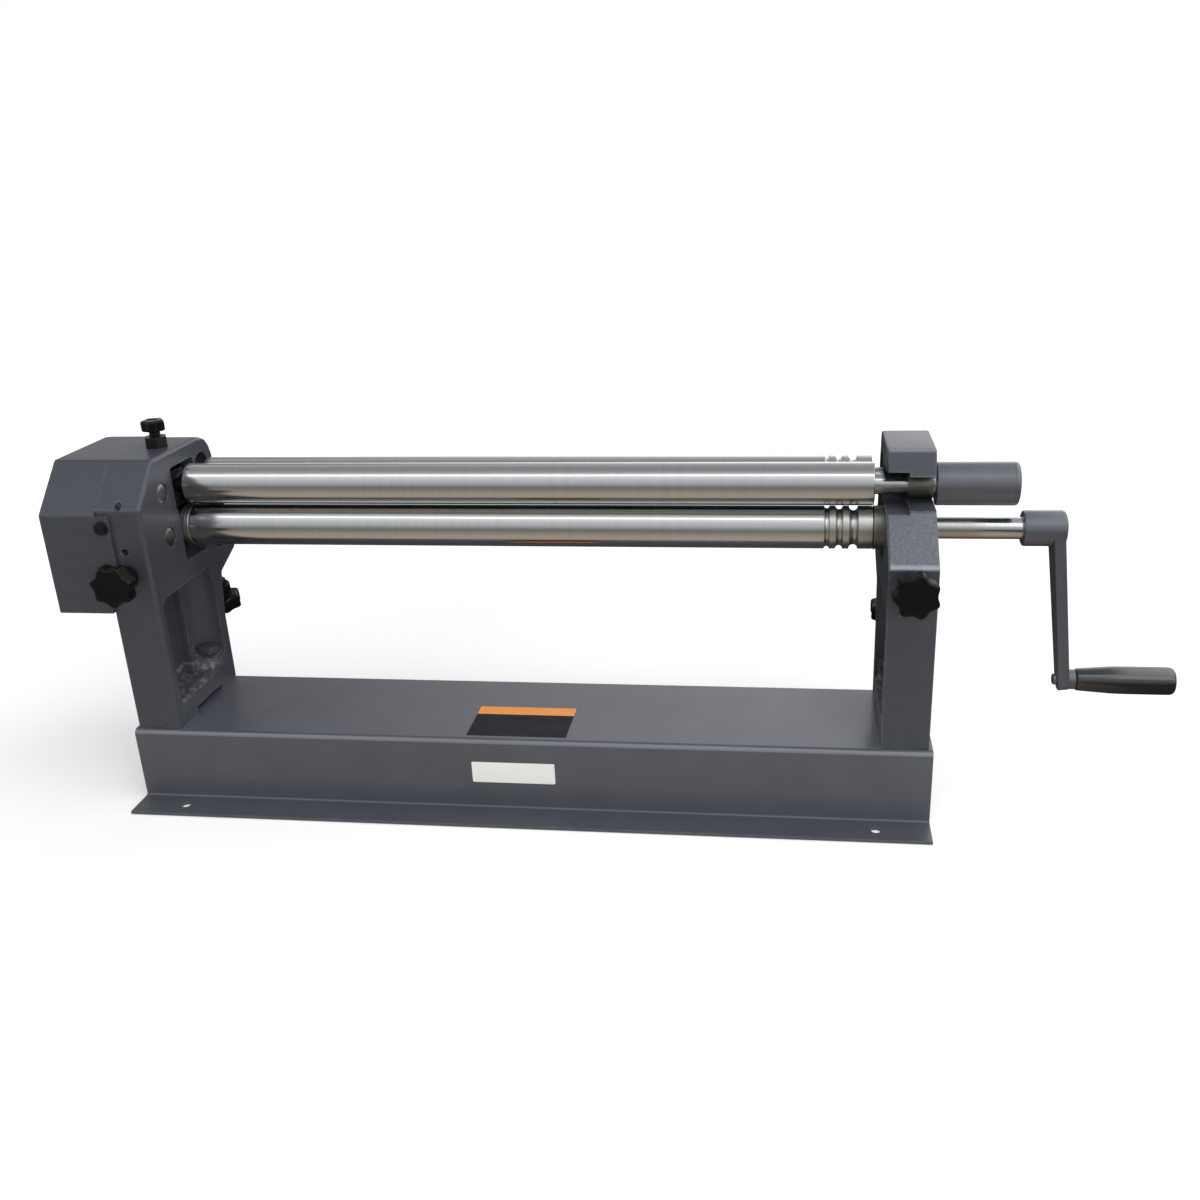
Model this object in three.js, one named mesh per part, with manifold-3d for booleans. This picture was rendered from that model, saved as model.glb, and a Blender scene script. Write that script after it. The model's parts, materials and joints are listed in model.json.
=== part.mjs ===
// Hand-cranked slip roll for a bench: three rolls between two cast stands on a bent sheet base.
// Millimetres. X runs along the rolls, +X to the crank. Y runs back, from zero over the two front
// rolls' axes. Z runs up from the bench. The whole is then centred on its own box.
import * as THREE from "three";
import { mergeVertices } from "three/addons/utils/BufferGeometryUtils.js";
import Module from "manifold-3d";

// Clearances
const seatGap = 0.3;
const overrun = 2;

// Rolls
const rollLength = 610;
const rollRadius = 18.4;
const nipGap = 1.9;
const lowerAxisHeight = 238.6;
const rearAxisBack = 38.5;
const rearAxisRise = 34.2;
const rollChamfer = 1;
const upperLeftJournalRadius = 11;
const upperRightJournalRadius = 9;
const crankShaftRadius = 9.4;
const crankShaftReach = 75;
const rearJournalRadius = 8;
const wireGrooveRadii = [2.2, 3, 3.8];
const wireGroovePlaces = [38.7, 28.3, 16.3];

// Base, bent from one sheet
const baseHeight = 70;
const baseTopDepth = 122.8;
const baseFlange = 30.5;
const baseSheet = 3;
const baseBendRadius = 5;
const baseOverhangLeft = 3.4;
const baseOverhangRight = 3.5;
const baseMiddle = -26.3;
const benchHoleRadius = 4.4;
const benchHoleInset = 46;

// Stands
const standThick = 40;
const leftEndGap = 6.2;
const rightEndGap = 8.4;
const standFront = -82.8;
const headAbove = 34.3;
const legRear = 32;
const legRearTopBack = 38.9;
const legRearTopDrop = 15;
const legRearBendDrop = 41;
const bulgeBack = 75;
const bulgeWall = 8;
const headRearBack = 58.5;
const headRearRise = 13.2;
const bulgeRadius = 5;
const headChamfer = 35.3;
const headCornerRadius = 5;
const leftHeadRadius = 25;
const rightHeadRadius = 10;
const hookCornerRadius = 2;
const noseCornerRadius = 3;
const rightSlotCornerRadius = 2;
const windowCornerRadius = 3;
const hookFrontTop = -18;
const hookFrontBottom = -37.1;
const hookFrontBottomDrop = 13.4;
const hookTopRadius = 6;
const noseFrontDrop = 8.6;
const pocketDepth = 25;
const pocketFront = -73.2;
const pocketRear = 19.5;
const pocketFloorRise = 22;
const pocketRoofDrop = 47.6;
const pocketRadius = 9;
const ribThick = 8;
const ribBack = -8;
const ribProud = 9;
const footBossFront = -4;
const footBossRise = 12;
const reliefFront = -49.6;
const reliefRear = 1.7;
const reliefRise = 5;

// Roll openings in the stands
const slotSideGap = 1.1;
const slotFloorDrop = 29.6;
const windowSideGap = 3.1;
const windowSillDrop = 18.3;
const windowTopRise = 19.7;
const innerHookHalfHeight = 16.3;
const outerHookLength = 21.4;
const rearSlotHalfWidth = 13;
const rearSlotSlant = 8;
const rearSlotAbove = 11.3;
const rearSlotBelow = 59.4;

// Upper roll's pivot end and hook end
const barrelRadius = 18;
const barrelBelow = 14.2;
const barrelAbove = 14.3;
const seatLength = 36;
const seatThick = 3.5;
const padRecess = 1.8;
const bushRadius = 12.4;
const liftGripRadius = 18.25;
const liftGripLength = 67.3;
const liftGripGap = 1.9;
const liftGripWall = 8;

// Clamp screw on top
const clampScrewRadius = 5;
const clampPadRadius = 4.6;
const clampPadLength = 6.2;
const lockNutFlats = 18;
const lockNutHeight = 9.2;
const clampKnobRadius = 10.5;
const clampKnobHeight = 10;
const clampKnobTopRise = 24.4;

// Lower roll's bearings
const lowerBlockTopWall = 7.3;
const collarProud = 0.5;
const collarInset = 3.2;
const blockSetback = 0.4;

// Wedges and their screws
const wedgeLength = 22;
const wedgeBack = 1.65;
const wedgeTravel = 6;
const wedgeWidth = 30;
const wedgeSlope = 0.15;
const wedgeRoof = 1.6;
const wedgeScrewRadius = 4;
const wedgeScrewDrop = 20.1;
const shoulderRadius = 6.2;
const shoulderLength = 3;

// Star knobs
const knobRadius = 19;
const knobLobeDepth = 2.6;
const knobThick = 14;
const knobBevel = 2.4;
const knobHubRadius = 11;
const knobNeckRadius = 8.2;
const knobNeckLength = 4.5;
const frontHubLength = 18.5;
const rearHubLength = 16;

// Rear roll's bearings and lift screws
const rearBlockHalfHeight = 18;
const rearBlockLength = 36;
const liftScrewRadius = 6;
const liftTipRadius = 4;
const liftTipLength = 7;
const liftScrewLength = 115;
const liftScrewSetIn = 5.5;

// Gears
const gearModule = 2.5;
const gearTeeth = 16;
const gearFace = 10;
const gearPlaneGap = 4;
const gearSetOff = 7;
const toothDepth = 5;
const toothTipRadius = 22.2;
const toothRootShare = 0.24;
const toothTipShare = 0.1;
const idlerRaise = 1.25;
const upperGearSeatRadius = 8;
const lowerGearSeatRadius = 7.5;
const idlerPinRadius = 8.8;
const idlerJournalRadius = 7;
const ringThick = 2;
const ringProud = 3;
const ringTail = 2;
const setScrewRadius = 3;
const setScrewDepth = 4.5;

// Gear cover
const coverWall = 3;
const coverDepth = 50;
const coverDrop = 55;
const coverTab = 11.2;
const frontTabDrop = 40.6;
const frontTabRise = 33.4;
const rearTabDrop = 23.6;
const rearTabRise = 26.4;
const coverBoltRadius = 2.5;
const coverBoltHeadRadius = 5.2;
const coverBoltHead = 3.6;
const coverWasherRadius = 6.2;
const coverWasher = 1;
const coverBoltDepth = 12;
const rearCoverBoltDepth = 8;
const coverBoltInset = 5.2;
const coverBoltRises = [23.4, -32.6];
const rearCoverBoltRise = 1.4;

// Foot bolts
const footBoltRadius = 5;
const footBoltFlats = 17;
const footBoltHead = 7;
const footNutHeight = 8;
const frontFootBolt = -61;
const rearFootBolt = 10.5;
const footBoltOut = 12;
const footBoltTail = 3;

// Crank
const crankThrow = 139;
const crankHubRadius = 15.2;
const crankHubLength = 35.5;
const crankArmThick = 10;
const crankArmLean = 7;
const crankArmSetIn = 1.9;
const crankHubBevel = 2;
const crankTipRadius = 9.2;
const crankBossRadius = 8.75;
const crankBossLength = 10.6;
const crankSocket = 27;
const spindleRadius = 4;
const spindleHeadRadius = 5;
const spindleHead = 2.5;
const gripLength = 82.6;
const gripNeckRadius = 9.85;
const gripRadius = 12.1;
const gripTaper = 34;
const gripEndRadius = 3;
const gripEndWall = 6;
const keyWidth = 5;
const keyLength = 18;

// Places that follow from the sizes above
const slant = THREE.MathUtils.degToRad(rearSlotSlant);
const upperAxisHeight = lowerAxisHeight + 2 * rollRadius + nipGap;
const rearAxisHeight = lowerAxisHeight + rearAxisRise;
const standTop = upperAxisHeight + headAbove;
const rearSlotEnd = rearAxisHeight - rearSlotBelow * Math.cos(slant) - rearSlotHalfWidth;
const bulgeHeight = rearSlotEnd - bulgeWall;
const legRearTopHeight = bulgeHeight - legRearTopDrop;
const legRearBendHeight = legRearTopHeight - legRearBendDrop;
const headRearHeight = rearAxisHeight + headRearRise;
const hookFrontBottomHeight = upperAxisHeight - hookFrontBottomDrop;
const noseFrontHeight = lowerAxisHeight - noseFrontDrop;
const pocketFloor = baseHeight + pocketFloorRise;
const pocketRoof = lowerAxisHeight - pocketRoofDrop;
const footBossTop = pocketFloor + footBossRise;
const slotHalfWidth = rollRadius + slotSideGap;
const slotFloor = lowerAxisHeight - slotFloorDrop;
const windowHalfWidth = rollRadius + windowSideGap;
const windowSill = upperAxisHeight - windowSillDrop;
const windowTop = upperAxisHeight + windowTopRise;
const barrelBottom = upperAxisHeight - barrelBelow;
const barrelTop = upperAxisHeight + barrelAbove;
const clampKnobTop = standTop + clampKnobTopRise;
const collarRadius = rollRadius + collarProud;
const rightSlotTop = lowerAxisHeight + collarRadius + wedgeSlope * wedgeTravel + seatGap;
const wedgeScrewHeight = lowerAxisHeight - wedgeScrewDrop;
const coverBottom = lowerAxisHeight - coverDrop;
const frontTabFloor = lowerAxisHeight - frontTabDrop;
const frontTabRoof = lowerAxisHeight + frontTabRise;
const rearTabFloor = lowerAxisHeight - rearTabDrop;
const rearTabRoof = lowerAxisHeight + rearTabRise;
const coverBoltHeights = coverBoltRises.map((rise) => lowerAxisHeight + rise);
const rearCoverBoltHeight = lowerAxisHeight + rearCoverBoltRise;
const rollEnd = rollLength / 2;
const leftInner = -rollEnd - leftEndGap;
const rightInner = rollEnd + rightEndGap;
const leftOuter = leftInner - standThick;
const rightOuter = rightInner + standThick;
const leftMiddle = (leftInner + leftOuter) / 2;
const rightMiddle = (rightInner + rightOuter) / 2;
const standFoot = baseHeight + seatGap;
const baseStart = leftOuter - baseOverhangLeft;
const baseEnd = rightOuter + baseOverhangRight;
const gearRadius = (gearModule * gearTeeth) / 2;
const toothAngle = (2 * Math.PI) / gearTeeth;
const upperGearPlane = leftOuter - gearSetOff;
const lowerGearPlane = upperGearPlane - gearFace - gearPlaneGap;
const idlerFront = -2 * gearRadius;
const idlerMiddle = (upperAxisHeight + lowerAxisHeight) / 2 + idlerRaise;
const upperIdlerHeight = idlerMiddle + gearRadius;
const lowerIdlerHeight = idlerMiddle - gearRadius;
const wedgeMiddleHeight = wedgeScrewHeight + wedgeScrewRadius + seatGap + wedgeRoof
  + (wedgeSlope * wedgeLength) / 2;

// Finishes
const paint = new THREE.MeshStandardMaterial({ color: 0x54565c, roughness: 0.5, metalness: 0.1 });
const castPaint = new THREE.MeshStandardMaterial({ color: 0x4e5057, roughness: 0.6, metalness: 0.1 });
const steel = new THREE.MeshStandardMaterial({ color: 0xb9b8b4, roughness: 0.22, metalness: 1 });
const brightSteel = new THREE.MeshStandardMaterial({ color: 0xd2d2d4, roughness: 0.12, metalness: 1 });
const darkSteel = new THREE.MeshStandardMaterial({ color: 0x2a2a2c, roughness: 0.45, metalness: 0.8 });
const gearSteel = new THREE.MeshStandardMaterial({ color: 0x77777a, roughness: 0.4, metalness: 1 });
const bronze = new THREE.MeshStandardMaterial({ color: 0x6d6746, roughness: 0.4, metalness: 0.9 });
const blackPlastic = new THREE.MeshStandardMaterial({ color: 0x151516, roughness: 0.4, metalness: 0 });
const zincSteel = new THREE.MeshStandardMaterial({ color: 0xa9abb0, roughness: 0.35, metalness: 1 });

// Solids: manifold-3d joins and cuts the closed meshes that three.js makes
const wasm = await Module();
wasm.setup();

function solid(geometry) {
  const bare = geometry.clone();
  bare.deleteAttribute("normal");
  bare.deleteAttribute("uv");
  const merged = mergeVertices(bare);
  return new wasm.Manifold(new wasm.Mesh({
    numProp: 3,
    vertProperties: merged.attributes.position.array,
    triVerts: new Uint32Array(merged.index.array),
  }));
}

function geometryOf(made) {
  const mesh = made.getMesh();
  const geometry = new THREE.BufferGeometry();
  geometry.setAttribute("position", new THREE.BufferAttribute(mesh.vertProperties, 3));
  geometry.setIndex(new THREE.BufferAttribute(mesh.triVerts, 1));
  geometry.computeVertexNormals();
  return geometry;
}

// A closed outline in the Y-Z plane, pushed along X from one place to another
function prism(points, fromX, toX) {
  const shape = new THREE.Shape(points.map(([y, z]) => new THREE.Vector2(y, z)));
  const geometry = new THREE.ExtrudeGeometry(shape, {
    depth: Math.abs(toX - fromX),
    bevelEnabled: false,
  });
  const toAxes = new THREE.Matrix4().makeBasis(
    new THREE.Vector3(0, 1, 0),
    new THREE.Vector3(0, 0, 1),
    new THREE.Vector3(1, 0, 0),
  );
  geometry.applyMatrix4(toAxes);
  geometry.translate(Math.min(fromX, toX), 0, 0);
  return solid(geometry);
}

function box(fromX, toX, fromY, toY, fromZ, toZ) {
  const geometry = new THREE.BoxGeometry(toX - fromX, toY - fromY, toZ - fromZ);
  geometry.translate((fromX + toX) / 2, (fromY + toY) / 2, (fromZ + toZ) / 2);
  return solid(geometry);
}

// A turned profile of [along, radius] points, round the X, Y or Z axis
function turned(profile, axis, segments = 24) {
  const points = profile.map(([along, radius]) => new THREE.Vector2(radius, along));
  const geometry = new THREE.LatheGeometry(points, segments);
  if (axis === "x") geometry.rotateZ(-Math.PI / 2);
  if (axis === "z") geometry.rotateX(Math.PI / 2);
  return solid(geometry);
}

function rod(radius, from, to, axis, segments) {
  return turned([[from, 0], [from, radius], [to, radius], [to, 0]], axis, segments);
}

function hexagon(acrossFlats, from, to) {
  return rod(acrossFlats / Math.sqrt(3), from, to, "z", 6).rotate([0, 0, 30]);
}

// Rounds the corners of an outline whose points are [y, z, radius]
function rounded(points, steps = 4) {
  const outline = [];
  points.forEach(([y, z, radius], i) => {
    if (!radius) {
      outline.push([y, z]);
      return;
    }
    const corner = new THREE.Vector2(y, z);
    const before = new THREE.Vector2(...points[(i + points.length - 1) % points.length]).sub(corner);
    const after = new THREE.Vector2(...points[(i + 1) % points.length]).sub(corner);
    before.normalize();
    after.normalize();
    const half = Math.acos(THREE.MathUtils.clamp(before.dot(after), -1, 1)) / 2;
    const middle = before.clone().add(after).normalize().multiplyScalar(radius / Math.sin(half));
    const centre = corner.clone().add(middle);
    const start = corner.clone().addScaledVector(before, radius / Math.tan(half)).sub(centre);
    const sweep = Math.PI - 2 * half;
    const turn = Math.sign(start.clone().cross(middle.clone().negate()));
    for (let step = 0; step <= steps; step += 1) {
      const at = start.clone().rotateAround(new THREE.Vector2(0, 0), (turn * sweep * step) / steps);
      outline.push([centre.x + at.x, centre.y + at.y]);
    }
  });
  return outline;
}

// A slot's outline with round ends, between two places, half as wide as given
function obround([fromY, fromZ], [toY, toZ], radius, steps = 10) {
  const along = Math.atan2(toZ - fromZ, toY - fromY);
  const outline = [];
  for (let step = 0; step <= steps; step += 1) {
    const angle = along - Math.PI / 2 + (Math.PI * step) / steps;
    outline.push([toY + radius * Math.cos(angle), toZ + radius * Math.sin(angle)]);
  }
  for (let step = 0; step <= steps; step += 1) {
    const angle = along + Math.PI / 2 + (Math.PI * step) / steps;
    outline.push([fromY + radius * Math.cos(angle), fromZ + radius * Math.sin(angle)]);
  }
  return outline;
}

function acrossRearSlot(along, offset = 0) {
  return [
    rearAxisBack - along * Math.sin(slant) + offset * Math.cos(slant),
    rearAxisHeight + along * Math.cos(slant) + offset * Math.sin(slant),
  ];
}

const machine = new THREE.Group();

function add(name, made, material, x = 0, y = 0, z = 0) {
  const mesh = new THREE.Mesh(geometryOf(made), material);
  mesh.name = name;
  mesh.position.set(x, y, z);
  machine.add(mesh);
  return mesh;
}

// Base
function makeBase() {
  const front = baseMiddle - baseTopDepth / 2;
  const rear = baseMiddle + baseTopDepth / 2;
  const inner = baseBendRadius - baseSheet;
  const outline = rounded([
    [front - baseFlange, 0, 0],
    [front + baseSheet, 0, baseBendRadius],
    [front + baseSheet, baseHeight - baseSheet, inner],
    [rear - baseSheet, baseHeight - baseSheet, inner],
    [rear - baseSheet, 0, baseBendRadius],
    [rear + baseFlange, 0, 0],
    [rear + baseFlange, baseSheet, 0],
    [rear, baseSheet, inner],
    [rear, baseHeight, baseBendRadius],
    [front, baseHeight, baseBendRadius],
    [front, baseSheet, inner],
    [front - baseFlange, baseSheet, 0],
  ]);
  let base = prism(outline, baseStart, baseEnd);
  for (const x of [baseStart + benchHoleInset, baseEnd - benchHoleInset]) {
    for (const y of [front - baseFlange / 2, rear + baseFlange / 2]) {
      base = base.subtract(rod(benchHoleRadius, -overrun, baseSheet + overrun, "z", 16).translate([x, y, 0]));
    }
  }
  for (const x of [leftInner - footBoltOut, rightInner + footBoltOut]) {
    for (const y of [frontFootBolt, rearFootBolt]) {
      const hole = rod(footBoltRadius + seatGap, baseHeight - 2 * baseSheet, baseHeight + overrun, "z", 16);
      base = base.subtract(hole.translate([x, y, 0]));
    }
  }
  add("base_channel", base, paint);
}

// Stands. The outward way is -X for the left stand and +X for the right one.
function rearEdgeAt(height) {
  const share = (headRearHeight - height) / (headRearHeight - bulgeHeight);
  return headRearBack + share * (bulgeBack - headRearBack);
}

const rearEdge = [
  [bulgeBack, bulgeHeight, bulgeRadius],
  [legRearTopBack, legRearTopHeight, bulgeRadius],
  [legRear, legRearBendHeight, 0],
  [legRear, standFoot, 0],
];

function standPocket(inner, outward) {
  const outline = rounded([
    [pocketFront, pocketFloor, pocketRadius / 3],
    [pocketRear, pocketFloor, 0],
    [pocketRear, pocketRoof, 0],
    [pocketFront, pocketRoof, pocketRadius],
  ]);
  const web = inner + outward * pocketDepth;
  const from = inner - outward * overrun;
  const rib = prism([
    [ribBack - ribThick, pocketFloor - overrun],
    [ribBack, pocketFloor - overrun],
    [ribBack, pocketRoof + overrun],
    [ribBack - ribThick, pocketRoof + overrun],
  ], web - outward * ribProud, web + outward * overrun);
  const boss = prism([
    [footBossFront, pocketFloor - overrun],
    [pocketRear + overrun, pocketFloor - overrun],
    [pocketRear + overrun, footBossTop],
    [footBossFront, footBossTop],
  ], inner + (outward * baseBendRadius) / 2, web + outward * overrun);
  return prism(outline, from, web).subtract(rib).subtract(boss);
}

function cutStand(blank, inner, outward) {
  const outer = inner + outward * standThick;
  const through = [inner - outward * overrun, outer + outward * overrun];
  const middle = (inner + outer) / 2;
  const cuts = [standPocket(inner, outward)];
  cuts.push(prism([
    [reliefFront, standFoot - overrun],
    [reliefRear, standFoot - overrun],
    [reliefRear, standFoot + reliefRise],
    [reliefFront, standFoot + reliefRise],
  ], ...through));
  cuts.push(prism(obround(
    acrossRearSlot(rearSlotAbove),
    acrossRearSlot(-rearSlotBelow),
    rearSlotHalfWidth,
  ), ...through));
  const screwHole = rod(liftScrewRadius + seatGap, -rearSlotBelow - 3 * rearSlotHalfWidth, -rearSlotBelow, "z", 16);
  cuts.push(alongRearSlot(screwHole, middle - outward * liftScrewSetIn));
  cuts.push(rod(wedgeScrewRadius + seatGap, standFront - overrun, 0, "y", 16)
    .translate([middle, 0, wedgeScrewHeight]));
  for (const y of [frontFootBolt, rearFootBolt]) {
    cuts.push(rod(footBoltRadius + seatGap, baseHeight, footBossTop + overrun, "z", 16)
      .translate([inner + outward * footBoltOut, y, 0]));
  }
  return cuts.reduce((made, cut) => made.subtract(cut), blank);
}

// Turns a piece made along Z into the rear slot's slanted line, from the rear roll's axis at rest
function alongRearSlot(made, x) {
  return made.rotate([rearSlotSlant, 0, 0]).translate([x, rearAxisBack, rearAxisHeight]);
}

function makeLeftStand() {
  const outline = rounded([
    [standFront, standFoot, 0],
    ...rearEdge.slice().reverse(),
    [rearEdgeAt(standTop), standTop, leftHeadRadius],
    [standFront + headChamfer, standTop, headCornerRadius],
    [standFront, standTop - headChamfer, headCornerRadius],
  ]);
  let stand = cutStand(prism(outline, leftOuter, leftInner), leftInner, -1);
  const through = [leftOuter - overrun, leftInner + overrun];
  stand = stand.subtract(prism([
    [-slotHalfWidth, slotFloor],
    [slotHalfWidth, slotFloor],
    [slotHalfWidth, windowSill + overrun],
    [-slotHalfWidth, windowSill + overrun],
  ], ...through));
  stand = stand.subtract(prism(rounded([
    [-windowHalfWidth, windowSill, 0],
    [windowHalfWidth, windowSill, 0],
    [windowHalfWidth, windowTop, windowCornerRadius],
    [-windowHalfWidth, windowTop, windowCornerRadius],
  ]), ...through));
  stand = stand.subtract(rod(clampScrewRadius + seatGap, windowTop - overrun, standTop + overrun, "z", 16)
    .translate([leftMiddle, 0, 0]));
  for (const height of [upperIdlerHeight, lowerIdlerHeight]) {
    stand = stand.subtract(rod(idlerPinRadius + seatGap, ...through, "x").translate([0, idlerFront, height]));
    stand = stand.subtract(rod(setScrewRadius + seatGap, standFront - overrun, idlerFront, "y", 16)
      .translate([leftMiddle, 0, height]));
  }
  for (const height of coverBoltHeights) {
    stand = stand.subtract(rod(coverBoltRadius + seatGap, -overrun, coverBoltDepth + overrun, "y", 16)
      .translate([leftOuter + coverBoltInset, standFront, height]));
  }
  const rearHole = rod(coverBoltRadius + seatGap, -rearCoverBoltDepth - seatGap, overrun, "y", 16);
  stand = stand.subtract(onRearEdge(rearHole));
  add("left_stand", stand, castPaint);
}

// Puts a piece made along +Y on the head's slanted rear face, where the rear cover bolt goes
function onRearEdge(made) {
  const lean = Math.atan2(bulgeBack - headRearBack, headRearHeight - bulgeHeight);
  return made.rotate([THREE.MathUtils.radToDeg(lean), 0, 0])
    .translate([leftOuter + coverBoltInset, rearEdgeAt(rearCoverBoltHeight), rearCoverBoltHeight]);
}

function makeRightStand() {
  const outline = rounded([
    [standFront, standFoot, 0],
    ...rearEdge.slice().reverse(),
    [rearEdgeAt(standTop), standTop, rightHeadRadius],
    [hookFrontTop, standTop, hookTopRadius],
    [hookFrontBottom, hookFrontBottomHeight, hookCornerRadius],
    [standFront, noseFrontHeight, noseCornerRadius],
  ]);
  let stand = cutStand(prism(outline, rightInner, rightOuter), rightInner, 1);
  const through = [rightInner - overrun, rightOuter + overrun];
  const step = rightOuter - outerHookLength;
  stand = stand.subtract(prism(rounded([
    [-slotHalfWidth, slotFloor, 0],
    [slotHalfWidth, slotFloor, 0],
    [slotHalfWidth, rightSlotTop, rightSlotCornerRadius],
    [-slotHalfWidth, rightSlotTop, rightSlotCornerRadius],
  ]), ...through));
  const mouth = [standFront, upperAxisHeight];
  const seat = [0, upperAxisHeight];
  stand = stand.subtract(prism(obround(mouth, seat, bushRadius + seatGap, 12), ...through));
  stand = stand.subtract(prism(obround(mouth, seat, innerHookHalfHeight, 12), rightInner - overrun, step));
  add("right_stand", stand, castPaint);
}

// Gear cover
function coverOutline(inset) {
  const front = standFront - seatGap - coverWall + inset;
  const rearShift = seatGap + coverWall - inset;
  const top = standTop - inset;
  const chamferDrop = inset * (Math.SQRT2 - 1);
  const chamferLine = standTop - headChamfer - standFront - inset - chamferDrop;
  const floorBack = bulgeBack - (bulgeHeight - coverBottom) * 2;
  return rounded([
    [front, coverBottom + inset, 0],
    [floorBack + rearShift - inset, coverBottom + inset, 0],
    [bulgeBack + rearShift, bulgeHeight + inset / 2, bulgeRadius],
    [rearEdgeAt(standTop) + rearShift, top, leftHeadRadius - inset],
    [top - chamferLine, top, headCornerRadius],
    [front, front + chamferLine, headCornerRadius],
  ]);
}

function makeCover() {
  const open = leftOuter - seatGap;
  const closed = open - coverDepth;
  let cover = prism(coverOutline(0), closed, open);
  const front = standFront - seatGap - coverWall;
  cover = cover.add(box(
    open - overrun, open + seatGap + coverTab,
    front, front + coverWall,
    frontTabFloor, frontTabRoof,
  ));
  const rearTab = prism([
    [rearEdgeAt(rearTabFloor) + seatGap, rearTabFloor],
    [rearEdgeAt(rearTabFloor) + seatGap + coverWall, rearTabFloor],
    [rearEdgeAt(rearTabRoof) + seatGap + coverWall, rearTabRoof],
    [rearEdgeAt(rearTabRoof) + seatGap, rearTabRoof],
  ], open - overrun, open + seatGap + coverTab);
  cover = cover.add(rearTab).subtract(prism(coverOutline(coverWall), closed + coverWall, open + overrun / 4));
  for (const height of coverBoltHeights) {
    cover = cover.subtract(rod(coverBoltRadius + seatGap, -2 * coverWall, overrun, "y", 16)
      .translate([leftOuter + coverBoltInset, standFront, height]));
  }
  cover = cover.subtract(onRearEdge(rod(coverBoltRadius + seatGap, -overrun, 2 * coverWall, "y", 16)));
  add("gear_cover", cover, castPaint);
}

// A bolt along +Y whose washer seats on the cover; its shank runs towards -Y
function coverBolt(depth) {
  const seat = 2 * seatGap + coverWall;
  return rod(coverBoltRadius, -depth, seat + overrun, "y", 16)
    .add(rod(coverWasherRadius, seat, seat + coverWasher, "y", 16))
    .add(rod(coverBoltHeadRadius, seat, seat + coverWasher + coverBoltHead, "y", 6));
}

function makeCoverBolts() {
  coverBoltHeights.forEach((height, i) => {
    const bolt = coverBolt(coverBoltDepth).rotate([0, 0, 180]);
    const name = ["cover_bolt_upper", "cover_bolt_lower"][i];
    add(name, bolt, darkSteel, leftOuter + coverBoltInset, standFront, height);
  });
  add("cover_bolt_rear", onRearEdge(coverBolt(rearCoverBoltDepth)), darkSteel);
}

// Foot bolts and nuts
function makeFootBolts() {
  const places = {
    left: leftInner - footBoltOut,
    right: rightInner + footBoltOut,
  };
  for (const [side, x] of Object.entries(places)) {
    for (const [end, y] of [["front", frontFootBolt], ["rear", rearFootBolt]]) {
      const seat = (end === "front" ? pocketFloor : footBossTop) + seatGap;
      const underside = baseHeight - baseSheet - seatGap;
      const bolt = rod(footBoltRadius, underside - footNutHeight - footBoltTail, seat + overrun, "z", 16)
        .add(hexagon(footBoltFlats, seat, seat + footBoltHead));
      add(`foot_bolt_${side}_${end}`, bolt, darkSteel, x, y, 0);
      const nut = hexagon(footBoltFlats, underside - footNutHeight, underside)
        .subtract(rod(footBoltRadius + seatGap, 0, baseHeight, "z", 16));
      add(`foot_nut_${side}_${end}`, nut, darkSteel, x, y, 0);
    }
  }
}

// Rolls. Profiles are [along, radius] from the left end to the right one.
function wireGrooves() {
  const points = [];
  wireGrooveRadii.forEach((radius, i) => {
    const centre = rollEnd - wireGroovePlaces[i];
    for (let step = 0; step <= 4; step += 1) {
      const angle = (Math.PI * step) / 4;
      points.push([centre - radius * Math.cos(angle), rollRadius - radius * Math.sin(angle)]);
    }
  });
  return points;
}

function rollBody(leftRadius, rightRadius, grooves) {
  return [
    [-rollEnd, leftRadius],
    [-rollEnd, rollRadius - rollChamfer],
    [-rollEnd + rollChamfer, rollRadius],
    ...grooves,
    [rollEnd - rollChamfer, rollRadius],
    [rollEnd, rollRadius - rollChamfer],
    [rollEnd, rightRadius],
  ];
}

const ringPlay = ringThick + 2 * seatGap + ringTail;
const liftGripStart = rightOuter + liftGripGap;
const crankHubStart = rightOuter + crankShaftReach;

function makeUpperRoll() {
  const gearSeat = upperGearPlane + seatGap;
  const tail = upperGearPlane - gearFace - ringPlay;
  const nose = liftGripStart + liftGripLength - liftGripWall - seatGap;
  const profile = [
    [tail, 0],
    [tail, upperGearSeatRadius],
    [gearSeat, upperGearSeatRadius],
    [gearSeat, upperLeftJournalRadius],
    ...rollBody(upperLeftJournalRadius, upperRightJournalRadius, []),
    [nose, upperRightJournalRadius],
    [nose, 0],
  ];
  add("upper_roll", turned(profile, "x", 32), steel, 0, 0, upperAxisHeight);
  const grip = turned([
    [0, upperRightJournalRadius + seatGap],
    [0, liftGripRadius - rollChamfer],
    [rollChamfer, liftGripRadius],
    [liftGripLength - rollChamfer, liftGripRadius],
    [liftGripLength, liftGripRadius - rollChamfer],
    [liftGripLength, 0],
    [liftGripLength - liftGripWall, 0],
    [liftGripLength - liftGripWall, upperRightJournalRadius + seatGap],
    [0, upperRightJournalRadius + seatGap],
  ], "x", 32);
  add("upper_roll_lift_grip", grip, paint, liftGripStart, 0, upperAxisHeight);
  const bushStart = rightOuter - outerHookLength + seatGap;
  const bush = turned(ringProfile(bushStart, rightOuter, upperRightJournalRadius + seatGap, bushRadius), "x");
  add("upper_roll_bush", bush, bronze, 0, 0, upperAxisHeight);
}

function ringProfile(from, to, innerRadius, outerRadius) {
  return [
    [from, innerRadius],
    [from, outerRadius],
    [to, outerRadius],
    [to, innerRadius],
    [from, innerRadius],
  ];
}

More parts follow.
